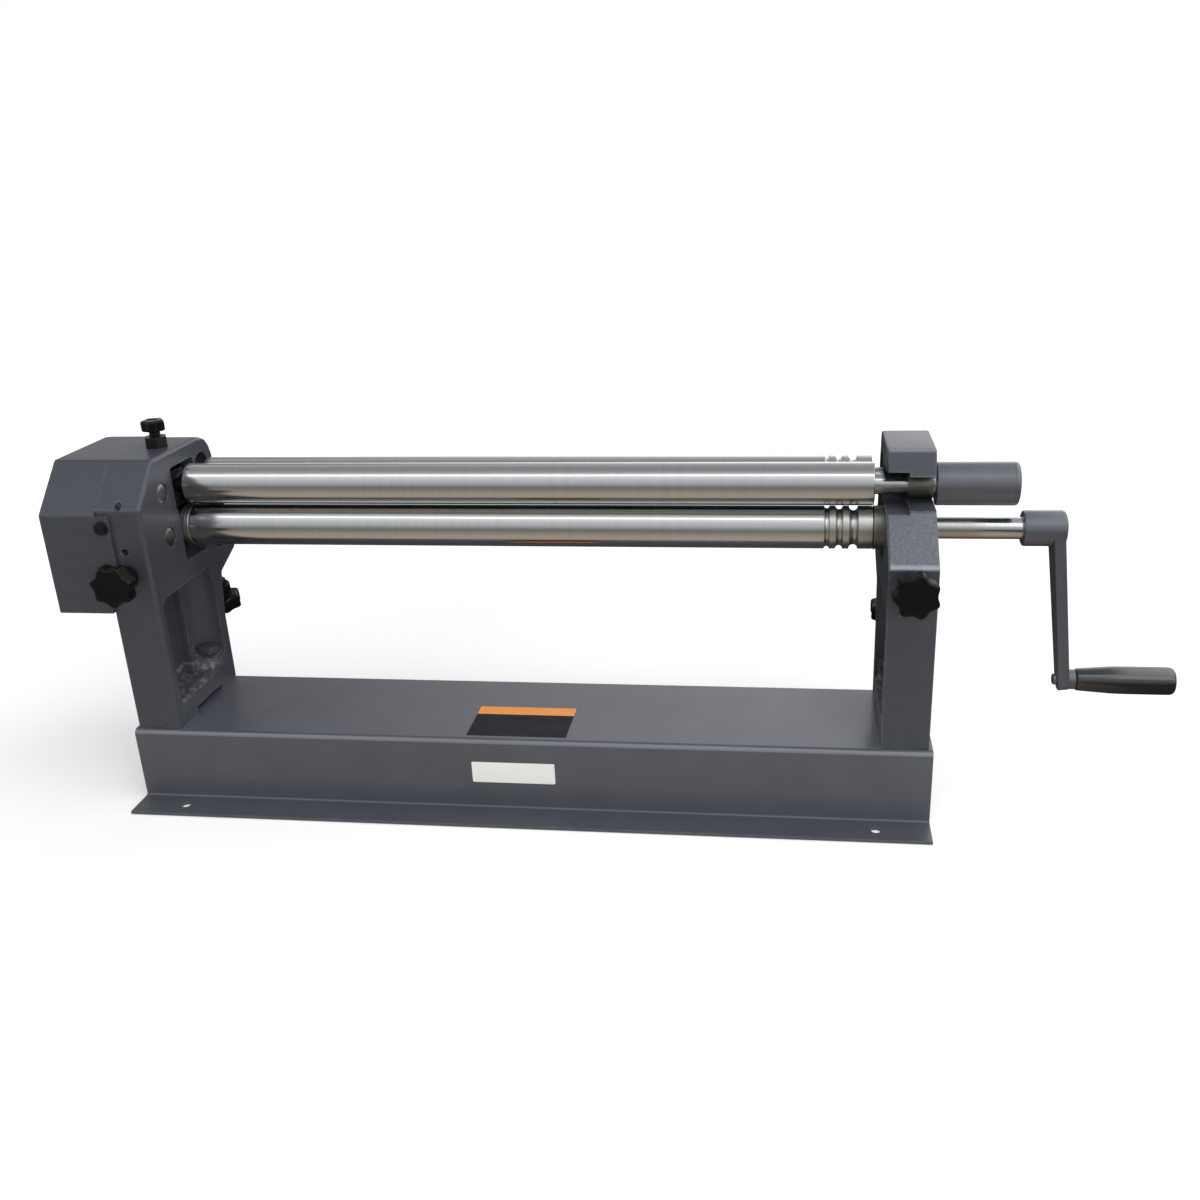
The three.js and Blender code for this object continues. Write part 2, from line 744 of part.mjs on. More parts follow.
function makePivot() {
  const barrel = rod(barrelRadius, barrelBottom, barrelTop, "z", 24)
    .subtract(rod(upperLeftJournalRadius + seatGap, -2 * barrelRadius, 2 * barrelRadius, "x")
      .translate([0, 0, upperAxisHeight]))
    .subtract(rod(clampPadRadius + seatGap, barrelTop - padRecess, barrelTop + overrun, "z", 16));
  add("upper_pivot_block", barrel, gearSteel, leftMiddle);
  const seatTop = barrelBottom - seatGap;
  const seat = box(
    -seatLength / 2, seatLength / 2,
    seatGap - windowHalfWidth, windowHalfWidth - seatGap,
    seatTop - seatThick, seatTop,
  );
  add("upper_pivot_seat", seat, darkSteel, leftMiddle);
}

function makeClamp() {
  const padFloor = barrelTop - padRecess + seatGap;
  const padTop = padFloor + clampPadLength;
  add("clamp_pad", rod(clampPadRadius, padFloor, padTop, "z", 16), bronze, leftMiddle);
  const knobFloor = clampKnobTop - clampKnobHeight;
  const screw = rod(clampScrewRadius, padTop + seatGap, knobFloor + clampKnobHeight / 2, "z", 16);
  add("clamp_screw", screw, darkSteel, leftMiddle);
  const nutFloor = standTop + seatGap;
  const nut = hexagon(lockNutFlats, nutFloor, nutFloor + lockNutHeight)
    .subtract(rod(clampScrewRadius + seatGap, nutFloor - overrun, standTop + 2 * lockNutHeight, "z", 16));
  add("clamp_lock_nut", nut, darkSteel, leftMiddle);
  const knob = star(5, clampKnobRadius, clampKnobHeight, clampKnobHeight / 5, clampKnobRadius / 6)
    .subtract(rod(clampScrewRadius + seatGap, -overrun, clampKnobHeight / 2 + seatGap, "z", 16));
  add("clamp_knob", knob, blackPlastic, leftMiddle, 0, knobFloor);
}

// A lobed knob along Z, from zero to its thickness
function star(lobes, radius, thick, bevel, lobeDepth) {
  const points = [];
  const steps = lobes * 6;
  for (let step = 0; step < steps; step += 1) {
    const angle = (2 * Math.PI * step) / steps;
    const reach = radius - bevel - lobeDepth * (1 - Math.cos(lobes * angle)) / 2;
    points.push(new THREE.Vector2(reach * Math.cos(angle), reach * Math.sin(angle)));
  }
  const geometry = new THREE.ExtrudeGeometry(new THREE.Shape(points), {
    depth: thick - 2 * bevel,
    bevelThickness: bevel,
    bevelSize: bevel,
    bevelSegments: 1,
  });
  geometry.translate(0, 0, bevel);
  return solid(geometry);
}

function knobBore(hubLength) {
  return hubLength + knobThick / 2;
}

// A seven-lobed knob along Z: its hub starts at zero and its head ends at the far side
function starKnob(hubLength, screwRadius) {
  return rod(knobNeckRadius, 0, hubLength, "z", 16)
    .add(rod(knobHubRadius, knobNeckLength, hubLength + knobBevel, "z", 16))
    .add(star(7, knobRadius, knobThick, knobBevel, knobLobeDepth).translate([0, 0, hubLength]))
    .subtract(rod(screwRadius + seatGap, -overrun, knobBore(hubLength), "z", 16));
}

function makeLowerRoll() {
  const gearSeat = lowerGearPlane + seatGap;
  const tail = lowerGearPlane - gearFace - ringPlay;
  const nose = crankHubStart + crankSocket;
  const profile = [
    [tail, 0],
    [tail, lowerGearSeatRadius],
    [gearSeat, lowerGearSeatRadius],
    [gearSeat, crankShaftRadius],
    ...rollBody(crankShaftRadius, crankShaftRadius, wireGrooves()),
    [nose, crankShaftRadius],
    [nose, 0],
  ];
  const keyway = box(
    nose - keyLength - seatGap, nose + overrun,
    -keyWidth / 2 - seatGap, keyWidth / 2 + seatGap,
    crankShaftRadius - keyWidth / 2, crankShaftRadius + overrun,
  );
  add("lower_roll", turned(profile, "x", 32).subtract(keyway), steel, 0, 0, lowerAxisHeight);
  const bore = crankShaftRadius + seatGap;
  const spans = {
    left: [leftInner - collarInset, -rollEnd - seatGap],
    right: [rollEnd + seatGap, rightInner + collarInset],
  };
  for (const [side, span] of Object.entries(spans)) {
    const collar = turned(ringProfile(...span, bore, collarRadius), "x");
    add(`lower_collar_${side}`, collar, zincSteel, 0, 0, lowerAxisHeight);
  }
}

function lowerBlock(from, to) {
  const half = slotHalfWidth - seatGap;
  const top = lowerAxisHeight + crankShaftRadius + seatGap + lowerBlockTopWall;
  const slope = (y) => wedgeMiddleHeight + seatGap + wedgeSlope * (y - wedgeBack);
  const notchBack = shoulderLength + 4 * seatGap - half;
  const notchTop = wedgeScrewHeight + shoulderRadius + 8 * seatGap;
  return prism([
    [-half, notchTop],
    [notchBack, notchTop],
    [notchBack, slope(notchBack)],
    [half, slope(half)],
    [half, top],
    [-half, top],
  ], from, to).subtract(
    rod(crankShaftRadius + seatGap, from - overrun, to + overrun, "x").translate([0, 0, lowerAxisHeight]),
  );
}

function makeLowerBearings() {
  const inset = collarInset + seatGap;
  const left = lowerBlock(leftOuter + blockSetback, leftInner - inset);
  add("lower_bearing_left", left, gearSteel);
  const right = lowerBlock(rightInner + inset, rightOuter - blockSetback);
  add("lower_bearing_right", right, gearSteel);
}

function makeWedges() {
  const floor = slotFloor + seatGap;
  const front = wedgeBack - wedgeLength / 2;
  const back = wedgeBack + wedgeLength / 2;
  const slope = (y) => wedgeMiddleHeight + wedgeSlope * (y - wedgeBack);
  const shoulderFront = seatGap - slotHalfWidth;
  const screwEnd = back + wedgeTravel - seatGap;
  const knobSeat = standFront - seatGap;
  const screwStart = knobSeat - knobBore(frontHubLength) + seatGap;
  for (const [side, x] of [["left", leftMiddle], ["right", rightMiddle]]) {
    const wedge = prism([
      [front, floor],
      [back, floor],
      [back, slope(back)],
      [front, slope(front)],
    ], -wedgeWidth / 2, wedgeWidth / 2).subtract(
      rod(wedgeScrewRadius + seatGap, front - overrun, back + overrun, "y", 16)
        .translate([0, 0, wedgeScrewHeight]),
    );
    add(`wedge_${side}`, wedge, gearSteel, x);
    const screw = rod(wedgeScrewRadius, screwStart, screwEnd, "y", 16)
      .add(rod(shoulderRadius, shoulderFront, shoulderFront + shoulderLength, "y", 16));
    add(`wedge_screw_${side}`, screw, zincSteel, x, 0, wedgeScrewHeight);
    const knob = add(`front_knob_${side}`, starKnob(frontHubLength, wedgeScrewRadius), blackPlastic);
    knob.position.set(x, knobSeat, wedgeScrewHeight);
    knob.rotation.set(Math.PI / 2, 0, 0);
  }
}

function makeRearRoll() {
  const half = rearBlockLength / 2;
  const profile = [
    [leftMiddle - half, 0],
    [leftMiddle - half, rearJournalRadius],
    ...rollBody(rearJournalRadius, rearJournalRadius, wireGrooves()),
    [rightMiddle + half, rearJournalRadius],
    [rightMiddle + half, 0],
  ];
  add("rear_roll", turned(profile, "x", 32), steel, 0, rearAxisBack, rearAxisHeight);
  const straight = rearBlockHalfHeight - rearSlotHalfWidth + seatGap;
  const screwTop = -rearBlockHalfHeight - seatGap;
  const screwBottom = screwTop - liftScrewLength;
  for (const [side, x, inward] of [["left", leftMiddle, 1], ["right", rightMiddle, -1]]) {
    const setIn = inward * liftScrewSetIn;
    const block = prism(obround([0, -straight], [0, straight], rearSlotHalfWidth - seatGap), -half, half)
      .subtract(rod(rearJournalRadius + seatGap, -half - overrun, half + overrun, "x", 20))
      .subtract(rod(liftTipRadius + seatGap, -rearBlockHalfHeight - overrun,
        liftTipLength - rearBlockHalfHeight, "z", 16).translate([setIn, 0, 0]));
    add(`rear_bearing_${side}`, alongRearSlot(block, x), gearSteel);
    const screw = rod(liftScrewRadius, screwBottom, screwTop, "z", 16)
      .add(rod(liftTipRadius, screwTop - overrun, screwTop + liftTipLength - seatGap, "z", 16));
    add(`lift_screw_${side}`, alongRearSlot(screw, x + setIn), zincSteel);
    const hub = starKnob(rearHubLength, liftScrewRadius).rotate([180, 0, 0])
      .translate([0, 0, screwBottom + knobBore(rearHubLength) - seatGap]);
    add(`rear_knob_${side}`, alongRearSlot(hub, x + setIn), blackPlastic);
  }
}

// Gears, pins and rings. A gear's phase is the angle of one of its teeth.
function gear(face, boreRadius, phase) {
  const root = toothTipRadius - toothDepth;
  const points = [];
  for (let tooth = 0; tooth < gearTeeth; tooth += 1) {
    const middle = phase + tooth * toothAngle;
    for (const [radius, share] of [
      [root, -toothRootShare],
      [toothTipRadius, -toothTipShare],
      [toothTipRadius, toothTipShare],
      [root, toothRootShare],
    ]) {
      const angle = middle + share * toothAngle;
      points.push([radius * Math.cos(angle), radius * Math.sin(angle)]);
    }
  }
  return prism(points, -face, 0).subtract(rod(boreRadius, -face - overrun, overrun, "x", 20));
}

// The phase that lets a second gear mesh with the first, from the line between their centres
function meshedPhase(phase, [fromY, fromZ], [toY, toZ]) {
  const line = Math.atan2(toZ - fromZ, toY - fromY);
  return 2 * line + Math.PI - phase + toothAngle / 2;
}

function makeGears() {
  const lowerCentre = [0, lowerAxisHeight];
  const lowerIdler = [idlerFront, lowerIdlerHeight];
  const upperIdler = [idlerFront, upperIdlerHeight];
  const upperCentre = [0, upperAxisHeight];
  const lowerIdlerPhase = meshedPhase(0, lowerCentre, lowerIdler);
  const upperIdlerPhase = meshedPhase(lowerIdlerPhase, lowerIdler, upperIdler);
  const upperPhase = meshedPhase(upperIdlerPhase, upperIdler, upperCentre);
  const wideFace = 2 * gearFace + gearPlaneGap;
  const idlerBore = idlerJournalRadius + seatGap;
  const train = [
    ["lower_roll_gear", gearFace, lowerGearSeatRadius + seatGap, 0, lowerGearPlane, lowerCentre],
    ["lower_idler_gear", wideFace, idlerBore, lowerIdlerPhase, upperGearPlane, lowerIdler],
    ["upper_idler_gear", gearFace, idlerBore, upperIdlerPhase, upperGearPlane, upperIdler],
    ["upper_roll_gear", gearFace, upperGearSeatRadius + seatGap, upperPhase, upperGearPlane, upperCentre],
  ];
  for (const [name, face, bore, phase, plane, [y, z]] of train) {
    add(name, gear(face, bore, phase), gearSteel, plane, y, z);
    const ringStart = plane - face - seatGap;
    const ring = turned(ringProfile(-ringThick, 0, bore, bore + ringProud), "x", 20);
    add(name.replace("_gear", "_ring"), ring, zincSteel, ringStart, y, z);
  }
  const pins = [
    ["lower_idler_pin", wideFace, lowerIdler],
    ["upper_idler_pin", gearFace, upperIdler],
  ];
  for (const [name, face, [y, z]] of pins) {
    const tail = upperGearPlane - face - ringPlay;
    const pin = turned([
      [tail, 0],
      [tail, idlerJournalRadius],
      [upperGearPlane + seatGap, idlerJournalRadius],
      [upperGearPlane + seatGap, idlerPinRadius],
      [leftInner, idlerPinRadius],
      [leftInner, 0],
    ], "x");
    add(name, pin, brightSteel, 0, y, z);
    const setScrew = rod(setScrewRadius, standFront + setScrewDepth, idlerFront - idlerPinRadius - seatGap, "y", 16);
    const screwName = name.replace("idler_pin", "set_screw");
    add(screwName, setScrew, zincSteel, leftMiddle, 0, z);
  }
}

// Crank
function makeCrank() {
  const lean = THREE.MathUtils.degToRad(crankArmLean);
  const hubEnd = crankHubStart + crankHubLength;
  const armFace = hubEnd - crankArmSetIn;
  const leanOut = crankThrow * Math.tan(lean);
  const arm = prism(armOutline(), -crankArmThick, 0)
    .rotate([0, -crankArmLean, 0])
    .translate([armFace, 0, 0]);
  const bossStart = armFace + leanOut - crankArmThick / 2;
  const boss = bossStart + crankBossLength;
  const hub = turned([
    [crankHubStart, 0],
    [crankHubStart, crankHubRadius - crankHubBevel],
    [crankHubStart + crankHubBevel, crankHubRadius],
    [hubEnd - crankHubBevel, crankHubRadius],
    [hubEnd, crankHubRadius - crankHubBevel],
    [hubEnd, 0],
  ], "x");
  const socketEnd = crankHubStart + crankSocket + seatGap;
  const spindleStart = bossStart - crankArmThick;
  const made = hub.add(arm)
    .add(rod(crankBossRadius, bossStart, boss, "x", 20).translate([0, 0, -crankThrow]))
    .subtract(rod(crankShaftRadius + seatGap, crankHubStart - overrun, socketEnd, "x"))
    .subtract(box(
      socketEnd - keyLength - 3 * seatGap, socketEnd,
      -keyWidth / 2 - seatGap, keyWidth / 2 + seatGap,
      0, crankShaftRadius + keyWidth / 2 + seatGap,
    ))
    .subtract(rod(spindleRadius + seatGap, spindleStart - overrun, boss + overrun, "x", 20)
      .translate([0, 0, -crankThrow]));
  add("crank_arm", made, paint, 0, 0, lowerAxisHeight);
  const keyEnd = socketEnd - seatGap;
  const key = box(
    keyEnd - keyLength, keyEnd,
    -keyWidth / 2, keyWidth / 2,
    crankShaftRadius - keyWidth / 2 + seatGap, crankShaftRadius + keyWidth / 2,
  );
  add("crank_key", key, zincSteel, 0, 0, lowerAxisHeight);
  const gripStart = boss + seatGap;
  const gripHeight = lowerAxisHeight - crankThrow;
  const inside = armFace + leanOut - crankArmThick / Math.cos(lean)
    - spindleHeadRadius * Math.tan(lean) - seatGap;
  const spindleEnd = gripStart + gripLength - gripEndWall - seatGap;
  const spindle = rod(spindleRadius, inside - overrun / 2, spindleEnd, "x", 20)
    .add(rod(spindleHeadRadius, inside - spindleHead, inside, "x", 20));
  add("grip_spindle", spindle, brightSteel, 0, 0, gripHeight);
  const bore = spindleRadius + seatGap;
  const grip = turned([
    [0, bore],
    [0, gripNeckRadius - rollChamfer],
    [rollChamfer, gripNeckRadius],
    [gripTaper, gripRadius],
    [gripLength - gripEndRadius, gripRadius],
    [gripLength - gripEndRadius / 3, gripRadius - gripEndRadius / 3],
    [gripLength, gripRadius - gripEndRadius],
    [gripLength, 0],
    [gripLength - gripEndWall, 0],
    [gripLength - gripEndWall, bore],
    [0, bore],
  ], "x");
  add("crank_grip", grip, blackPlastic, gripStart, 0, gripHeight);
}

// The arm's outline in Y and Z: two rounds, one at the hub and one at the tip, joined by tangents
function armOutline() {
  const reach = crankThrow / Math.cos(THREE.MathUtils.degToRad(crankArmLean));
  const tilt = Math.asin((crankHubRadius - crankTipRadius) / reach);
  const outline = [];
  for (let step = 0; step <= 12; step += 1) {
    const angle = -tilt + ((Math.PI + 2 * tilt) * step) / 12;
    outline.push([crankHubRadius * Math.cos(angle), crankHubRadius * Math.sin(angle)]);
  }
  for (let step = 0; step <= 10; step += 1) {
    const angle = Math.PI + tilt + ((Math.PI - 2 * tilt) * step) / 10;
    outline.push([crankTipRadius * Math.cos(angle), crankTipRadius * Math.sin(angle) - reach]);
  }
  return outline;
}

makeBase();
makeLeftStand();
makeRightStand();
makeCover();
makeCoverBolts();
makeFootBolts();
makeUpperRoll();
makePivot();
makeClamp();
makeLowerRoll();
makeLowerBearings();
makeWedges();
makeRearRoll();
makeGears();
makeCrank();

const bounds = new THREE.Box3().setFromObject(machine, true);
machine.position.set(
  -(bounds.min.x + bounds.max.x) / 2,
  -(bounds.min.y + bounds.max.y) / 2,
  -bounds.min.z,
);

const slipRoll = new THREE.Group();
slipRoll.add(machine);

export default slipRoll;
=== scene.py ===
import json
from math import asin, atan2, cos, pi, radians, sin, sqrt, tan, tau

import bpy
import bmesh
from mathutils import Matrix, Vector


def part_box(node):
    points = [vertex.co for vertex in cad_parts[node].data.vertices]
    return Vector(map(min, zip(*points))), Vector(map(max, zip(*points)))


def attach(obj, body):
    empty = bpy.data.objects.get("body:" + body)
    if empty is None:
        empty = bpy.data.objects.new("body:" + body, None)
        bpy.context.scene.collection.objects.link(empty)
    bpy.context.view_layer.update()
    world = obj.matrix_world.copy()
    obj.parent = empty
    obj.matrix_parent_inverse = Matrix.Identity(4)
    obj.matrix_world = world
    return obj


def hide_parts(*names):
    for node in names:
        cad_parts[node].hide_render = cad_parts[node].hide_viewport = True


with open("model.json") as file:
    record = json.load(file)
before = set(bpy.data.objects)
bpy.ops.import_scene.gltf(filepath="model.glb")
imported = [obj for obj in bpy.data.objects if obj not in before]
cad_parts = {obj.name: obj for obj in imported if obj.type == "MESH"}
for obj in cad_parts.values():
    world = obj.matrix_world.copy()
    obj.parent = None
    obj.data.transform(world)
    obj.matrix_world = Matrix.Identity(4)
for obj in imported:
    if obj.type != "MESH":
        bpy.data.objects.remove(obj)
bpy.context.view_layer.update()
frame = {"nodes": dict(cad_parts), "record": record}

scene = bpy.context.scene
mm = 0.001

machine = {
    "leftMiddle": -331.2, "rightMiddle": 333.4, "offCentre": -1.1,
    "lowerAxis": 238.6, "upperAxis": 277.3,
    "rearBack": 38.5, "rearAxis": 272.8, "rearSlant": 8, "screwSetIn": 5.5,
}
sides = [("left", machine["leftMiddle"], 1), ("right", machine["rightMiddle"], -1)]

# The machine's own measure: millimetres from mid-roll, from the front rolls' axis plane and from the bench
standLeft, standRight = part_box("left_stand"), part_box("right_stand")
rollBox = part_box("lower_roll")
midRoll = (standLeft[1].x + standRight[0].x) / 2 + machine["offCentre"] * mm
home = Vector((midRoll, (rollBox[0].y + rollBox[1].y) / 2, 0))


def at(x, y, z):
    return home + Vector((x, y, z)) * mm


def moved(x, y, z):
    return Matrix.Translation(at(x, y, z))


def turned(degrees, axis):
    return Matrix.Rotation(radians(degrees), 4, axis)


upperAxle, lowerAxle = at(0, 0, machine["upperAxis"]), at(0, 0, machine["lowerAxis"])

# Objects and meshes

def linked(name, data):
    thing = bpy.data.objects.new(name, data)
    scene.collection.objects.link(thing)
    return thing


def meshFrom(name, bm):
    mesh = bpy.data.meshes.new(name)
    bm.to_mesh(mesh)
    bm.free()
    return mesh


def weld(bm, distance=1e-6):
    bmesh.ops.remove_doubles(bm, verts=bm.verts, dist=distance)


def span(edge, axis):
    first, second = edge.verts
    return abs(first.co[axis] - second.co[axis])


def moveNew(bm, made, offset):
    verts = [v for v in made["geom"] if isinstance(v, bmesh.types.BMVert)]
    bmesh.ops.translate(bm, vec=offset, verts=verts)


def placed(bm, matrix):
    bmesh.ops.transform(bm, matrix=matrix, verts=bm.verts)
    return bm


def faceOutward(bm):
    bmesh.ops.recalc_face_normals(bm, faces=bm.faces)


def wire(bm, points, closed=False):
    verts = [bm.verts.new(point) for point in points]
    nexts = verts[1:] + verts[:1] if closed else verts[1:]
    return verts, [bm.edges.new(pair) for pair in zip(verts, nexts)]


# Shader nodes: a value is another node's output, or a number or color of its own

def feed(tree, socket, value):
    if isinstance(value, bpy.types.NodeSocket):
        tree.links.new(value, socket)
    else:
        socket.default_value = value


def newNode(tree, kind, *values, **settings):
    node = tree.nodes.new("ShaderNode" + kind)
    for setting, value in settings.items():
        setattr(node, setting, value)
    for socket, value in zip(node.inputs, values):
        feed(tree, socket, value)
    return node


def objectPlace(tree):
    return newNode(tree, "TexCoord").outputs["Object"]


def mathNode(tree, operation, first, second, clamp=False):
    return newNode(tree, "Math", first, second, operation=operation, use_clamp=clamp).outputs[0]


def rangeNode(tree, value, low, high, toLow=0.0, toHigh=1.0):
    return newNode(tree, "MapRange", value, low, high, toLow, toHigh).outputs["Result"]


def noiseNode(tree, vector, scale, detail=3.0, roughness=0.55):
    node = newNode(tree, "TexNoise", vector)
    for label, value in (("Scale", scale), ("Detail", detail), ("Roughness", roughness)):
        feed(tree, node.inputs[label], value)
    return node.outputs["Fac"]


def rampNode(tree, value, stops):
    node = newNode(tree, "ValToRGB", value)
    elements = node.color_ramp.elements
    for index, (share, color) in enumerate(stops):
        element = elements[index] if index < 2 else elements.new(share)
        element.position = share
        element.color = (*color, 1)
    return node.outputs["Color"]


# Camera and light

print("camera and light")

cameraView = {
    "place": (237.13, -990.97, 559.30),
    "yaw": -0.139874, "pitch": 0.378473, "roll": 0.038050,
    "lens": 35.863, "shift": (-0.02904, 0.00655), "sensor": 36, "clip": (0.05, 30),
}


def addCamera(view):
    yaw, pitch, roll = view["yaw"], view["pitch"], view["roll"]
    ahead = Vector((sin(yaw) * cos(pitch), cos(yaw) * cos(pitch), -sin(pitch)))
    right = Vector((cos(yaw), -sin(yaw), 0))
    down = ahead.cross(right)
    across = right * cos(roll) + down * sin(roll)
    below = down * cos(roll) - right * sin(roll)
    data = bpy.data.cameras.new("camera")
    data.sensor_width = view["sensor"]
    data.lens = view["lens"]
    data.shift_x, data.shift_y = view["shift"]
    data.clip_start, data.clip_end = view["clip"]
    camera = linked("camera", data)
    turn = Matrix((across, -below, -ahead)).transposed().to_4x4()
    camera.matrix_world = moved(*view["place"]) @ turn
    scene.camera = camera


addCamera(cameraView)

softBoxes = {
    "overhead": {"place": (0.65, -0.25, 1.9), "aim": (0.2, 0, 0.2), "size": (2.0, 1.2), "power": 27},
    "frontLeft": {"place": (-1.6, -1.9, 1.0), "aim": (0, 0, 0.2), "size": (1.2, 1.2), "power": 10.5},
    "frontRight": {"place": (1.1, -2.1, 0.8), "aim": (0.1, 0, 0.15), "size": (1.6, 0.9), "power": 31},
    "rightFill": {"place": (2.0, -0.6, 0.9), "aim": (0.1, 0, 0.2), "size": (1.0, 1.2), "power": 6},
    "rear": {"place": (0.2, 1.9, 1.3), "aim": (0, 0, 0.2), "size": (2.0, 1.0), "power": 11},
}
ambient = 0.32


# The lamps light the paint; what the bright metal mirrors is the hall and the bench further down
def addLights(boxes):
    for name, box in boxes.items():
        data = bpy.data.lights.new(name, "AREA")
        data.shape = "RECTANGLE"
        data.size, data.size_y = box["size"]
        data.energy = box["power"]
        lamp = linked(name, data)
        lamp.location = box["place"]
        aim = Vector(box["aim"]) - Vector(box["place"])
        lamp.rotation_euler = aim.to_track_quat("-Z", "Y").to_euler()
        lamp.visible_glossy = False


addLights(softBoxes)


def seenWhite(tree):
    path = newNode(tree, "LightPath").outputs
    either = mathNode(tree, "MAXIMUM", path["Is Camera Ray"], path["Is Glossy Ray"])
    return mathNode(tree, "MAXIMUM", either, path["Is Transmission Ray"])


def makeWorld(level):
    world = bpy.data.worlds.new("studio")
    world.use_nodes = True
    scene.world = world
    tree = world.node_tree
    background = tree.nodes["Background"].inputs
    background["Color"].default_value = (1, 1, 1, 1)
    feed(tree, background["Strength"], rangeNode(tree, seenWhite(tree), 0, 1, level, 1))


makeWorld(ambient)


def staged(name, bm, material, height):
    bmesh.ops.translate(bm, vec=(0, 0, height), verts=bm.verts)
    mesh = meshFrom(name, bm)
    mesh.materials.append(material)
    thing = linked(name, mesh)
    return thing


def flatSheet(size):
    bm = bmesh.new()
    bmesh.ops.create_grid(bm, x_segments=1, y_segments=1, size=size)
    return bm


floorShape = {
    "color": 0.6, "roughness": 0.9, "size": 12, "height": -0.0006,
    "near": (0.5, 0.42), "far": (1.4, 0.81),
}


# The floor glows to white for the camera, less near the machine, so that its shadow stays
def makeFloor(shape=floorShape):
    material = bpy.data.materials.new("paleFloor")
    material.use_nodes = True
    tree = material.node_tree
    shader = tree.nodes["Principled BSDF"].inputs
    shader["Base Color"].default_value = (*[shape["color"]] * 3, 1)
    shader["Roughness"].default_value = shape["roughness"]
    shader["Emission Color"].default_value = (1, 1, 1, 1)
    distance = newNode(tree, "VectorMath", objectPlace(tree), operation="LENGTH").outputs["Value"]
    (near, least), (far, most) = shape["near"], shape["far"]
    level = rangeNode(tree, distance, near, far, least, most)
    feed(tree, shader["Emission Strength"], mathNode(tree, "MULTIPLY", seenWhite(tree), level))
    staged("floor", flatSheet(shape["size"]), material, shape["height"])


makeFloor()

# The hall that the bright metal mirrors: a half tube along the rolls, by its angle up from the front.
# Windows brighten it towards the right: two on the rear wall, one in front and one overhead.
studioHall = {
    "radius": 3.4, "halfLength": 4.6, "height": -0.002, "steps": 72,
    "eye": (-0.02, 0.26), "peak": 4.0, "tint": (0.965, 0.985, 1.0),
    "bands": [(0, 0.3), (8, 0.46), (16, 0.62), (30, 0.76), (42, 0.92), (51, 1.08), (57.5, 1.3), (59.5, 3.2),
              (62.5, 3.2), (64.5, 1.1), (71, 0.72), (78, 0.52), (94, 0.36), (118, 0.4), (130, 0.56),
              (140, 0.6), (149, 0.14), (158, 0.12), (172, 0.18), (180, 0.2)],
    "windows": [
        {"turns": [(144, 0.0), (150, 1.25), (158, 1.1), (162, 0.0)], "from": -1.8, "to": 0.4},
        {"turns": [(158, 0.0), (163, 1.75), (173, 1.75), (178, 0.1)], "from": -4.2, "to": 0.5},
        {"turns": [(30, 0.0), (38, 1.3), (48, 1.3), (56, 0.0)], "from": 0.75, "to": 0.95},
        {"turns": [(66, 0.0), (76, 1.9), (135, 1.9), (147, 0.0)], "from": 1.0, "to": 1.4},
    ],
}
benchTop = {
    "size": 5.0, "from": -3.0, "reach": 4.0, "height": -0.0003,
    "rows": [(-3.0, (0.25, 0.25, 0.24)), (-1.2, (0.23, 0.235, 0.20)), (-0.55, (0.36, 0.32, 0.27)),
             (-0.16, (0.56, 0.45, 0.37)), (-0.03, (0.42, 0.29, 0.20)), (0.08, (0.10, 0.08, 0.07)),
             (0.4, (0.04, 0.04, 0.04))],
    "fade": (0.40, 0.50, 1.0, 0.12),
}


def glowing(name):
    material = bpy.data.materials.new(name)
    material.use_nodes = True
    material.cycles.emission_sampling = "NONE"
    tree = material.node_tree
    tree.nodes.remove(tree.nodes["Principled BSDF"])
    glow = newNode(tree, "Emission")
    feed(tree, tree.nodes["Material Output"].inputs["Surface"], glow.outputs[0])
    return material, tree, glow.inputs, newNode(tree, "SeparateXYZ", objectPlace(tree)).outputs


def onlyMirrored(thing):
    for ray in ("camera", "diffuse", "transmission", "shadow", "volume_scatter"):
        setattr(thing, "visible_" + ray, False)


def byAngle(tree, turn, stops, peak):
    return rampNode(tree, turn, [(angle / 180, [level / peak] * 3) for angle, level in stops])


def makeHall(shape=studioHall):
    material, tree, glow, place = glowing("hallWalls")
    peak = shape["peak"]
    up = mathNode(tree, "SUBTRACT", place["Z"], shape["eye"][1])
    ahead = mathNode(tree, "SUBTRACT", shape["eye"][0], place["Y"])
    turn = mathNode(tree, "DIVIDE", mathNode(tree, "ARCTAN2", up, ahead), pi, True)
    level = mathNode(tree, "MULTIPLY", byAngle(tree, turn, shape["bands"], peak), peak)
    for window in shape["windows"]:
        along = rangeNode(tree, place["X"], window["from"], window["to"], 0.0, peak)
        extra = mathNode(tree, "MULTIPLY", byAngle(tree, turn, window["turns"], peak), along)
        level = mathNode(tree, "ADD", level, extra)
    feed(tree, glow["Color"], (*shape["tint"], 1))
    feed(tree, glow["Strength"], level)
    bm = bmesh.new()
    ends = [bm.verts.new((side * shape["halfLength"], -shape["radius"], 0)) for side in (-1, 1)]
    edge = bm.edges.new(ends)
    bmesh.ops.spin(bm, geom=[*ends, edge], cent=(0, 0, 0), axis=(1, 0, 0), dvec=(0, 0, 0),
                   angle=-pi, steps=shape["steps"])
    bmesh.ops.holes_fill(bm, edges=[e for e in bm.edges if span(e, 0) < 0.01], sides=0)
    onlyMirrored(staged("hall", bm, material, shape["height"]))


def makeBench(shape=benchTop):
    material, tree, glow, place = glowing("benchTop")
    back = mathNode(tree, "SUBTRACT", place["Y"], shape["from"])
    share = mathNode(tree, "DIVIDE", back, shape["reach"], True)
    stops = [((y - shape["from"]) / shape["reach"], color) for y, color in shape["rows"]]
    feed(tree, glow["Color"], rampNode(tree, share, stops))
    feed(tree, glow["Strength"], rangeNode(tree, place["X"], *shape["fade"]))
    onlyMirrored(staged("bench", flatSheet(shape["size"]), material, shape["height"]))


makeHall()
makeBench()

# Shared shader groups

print("shader groups")


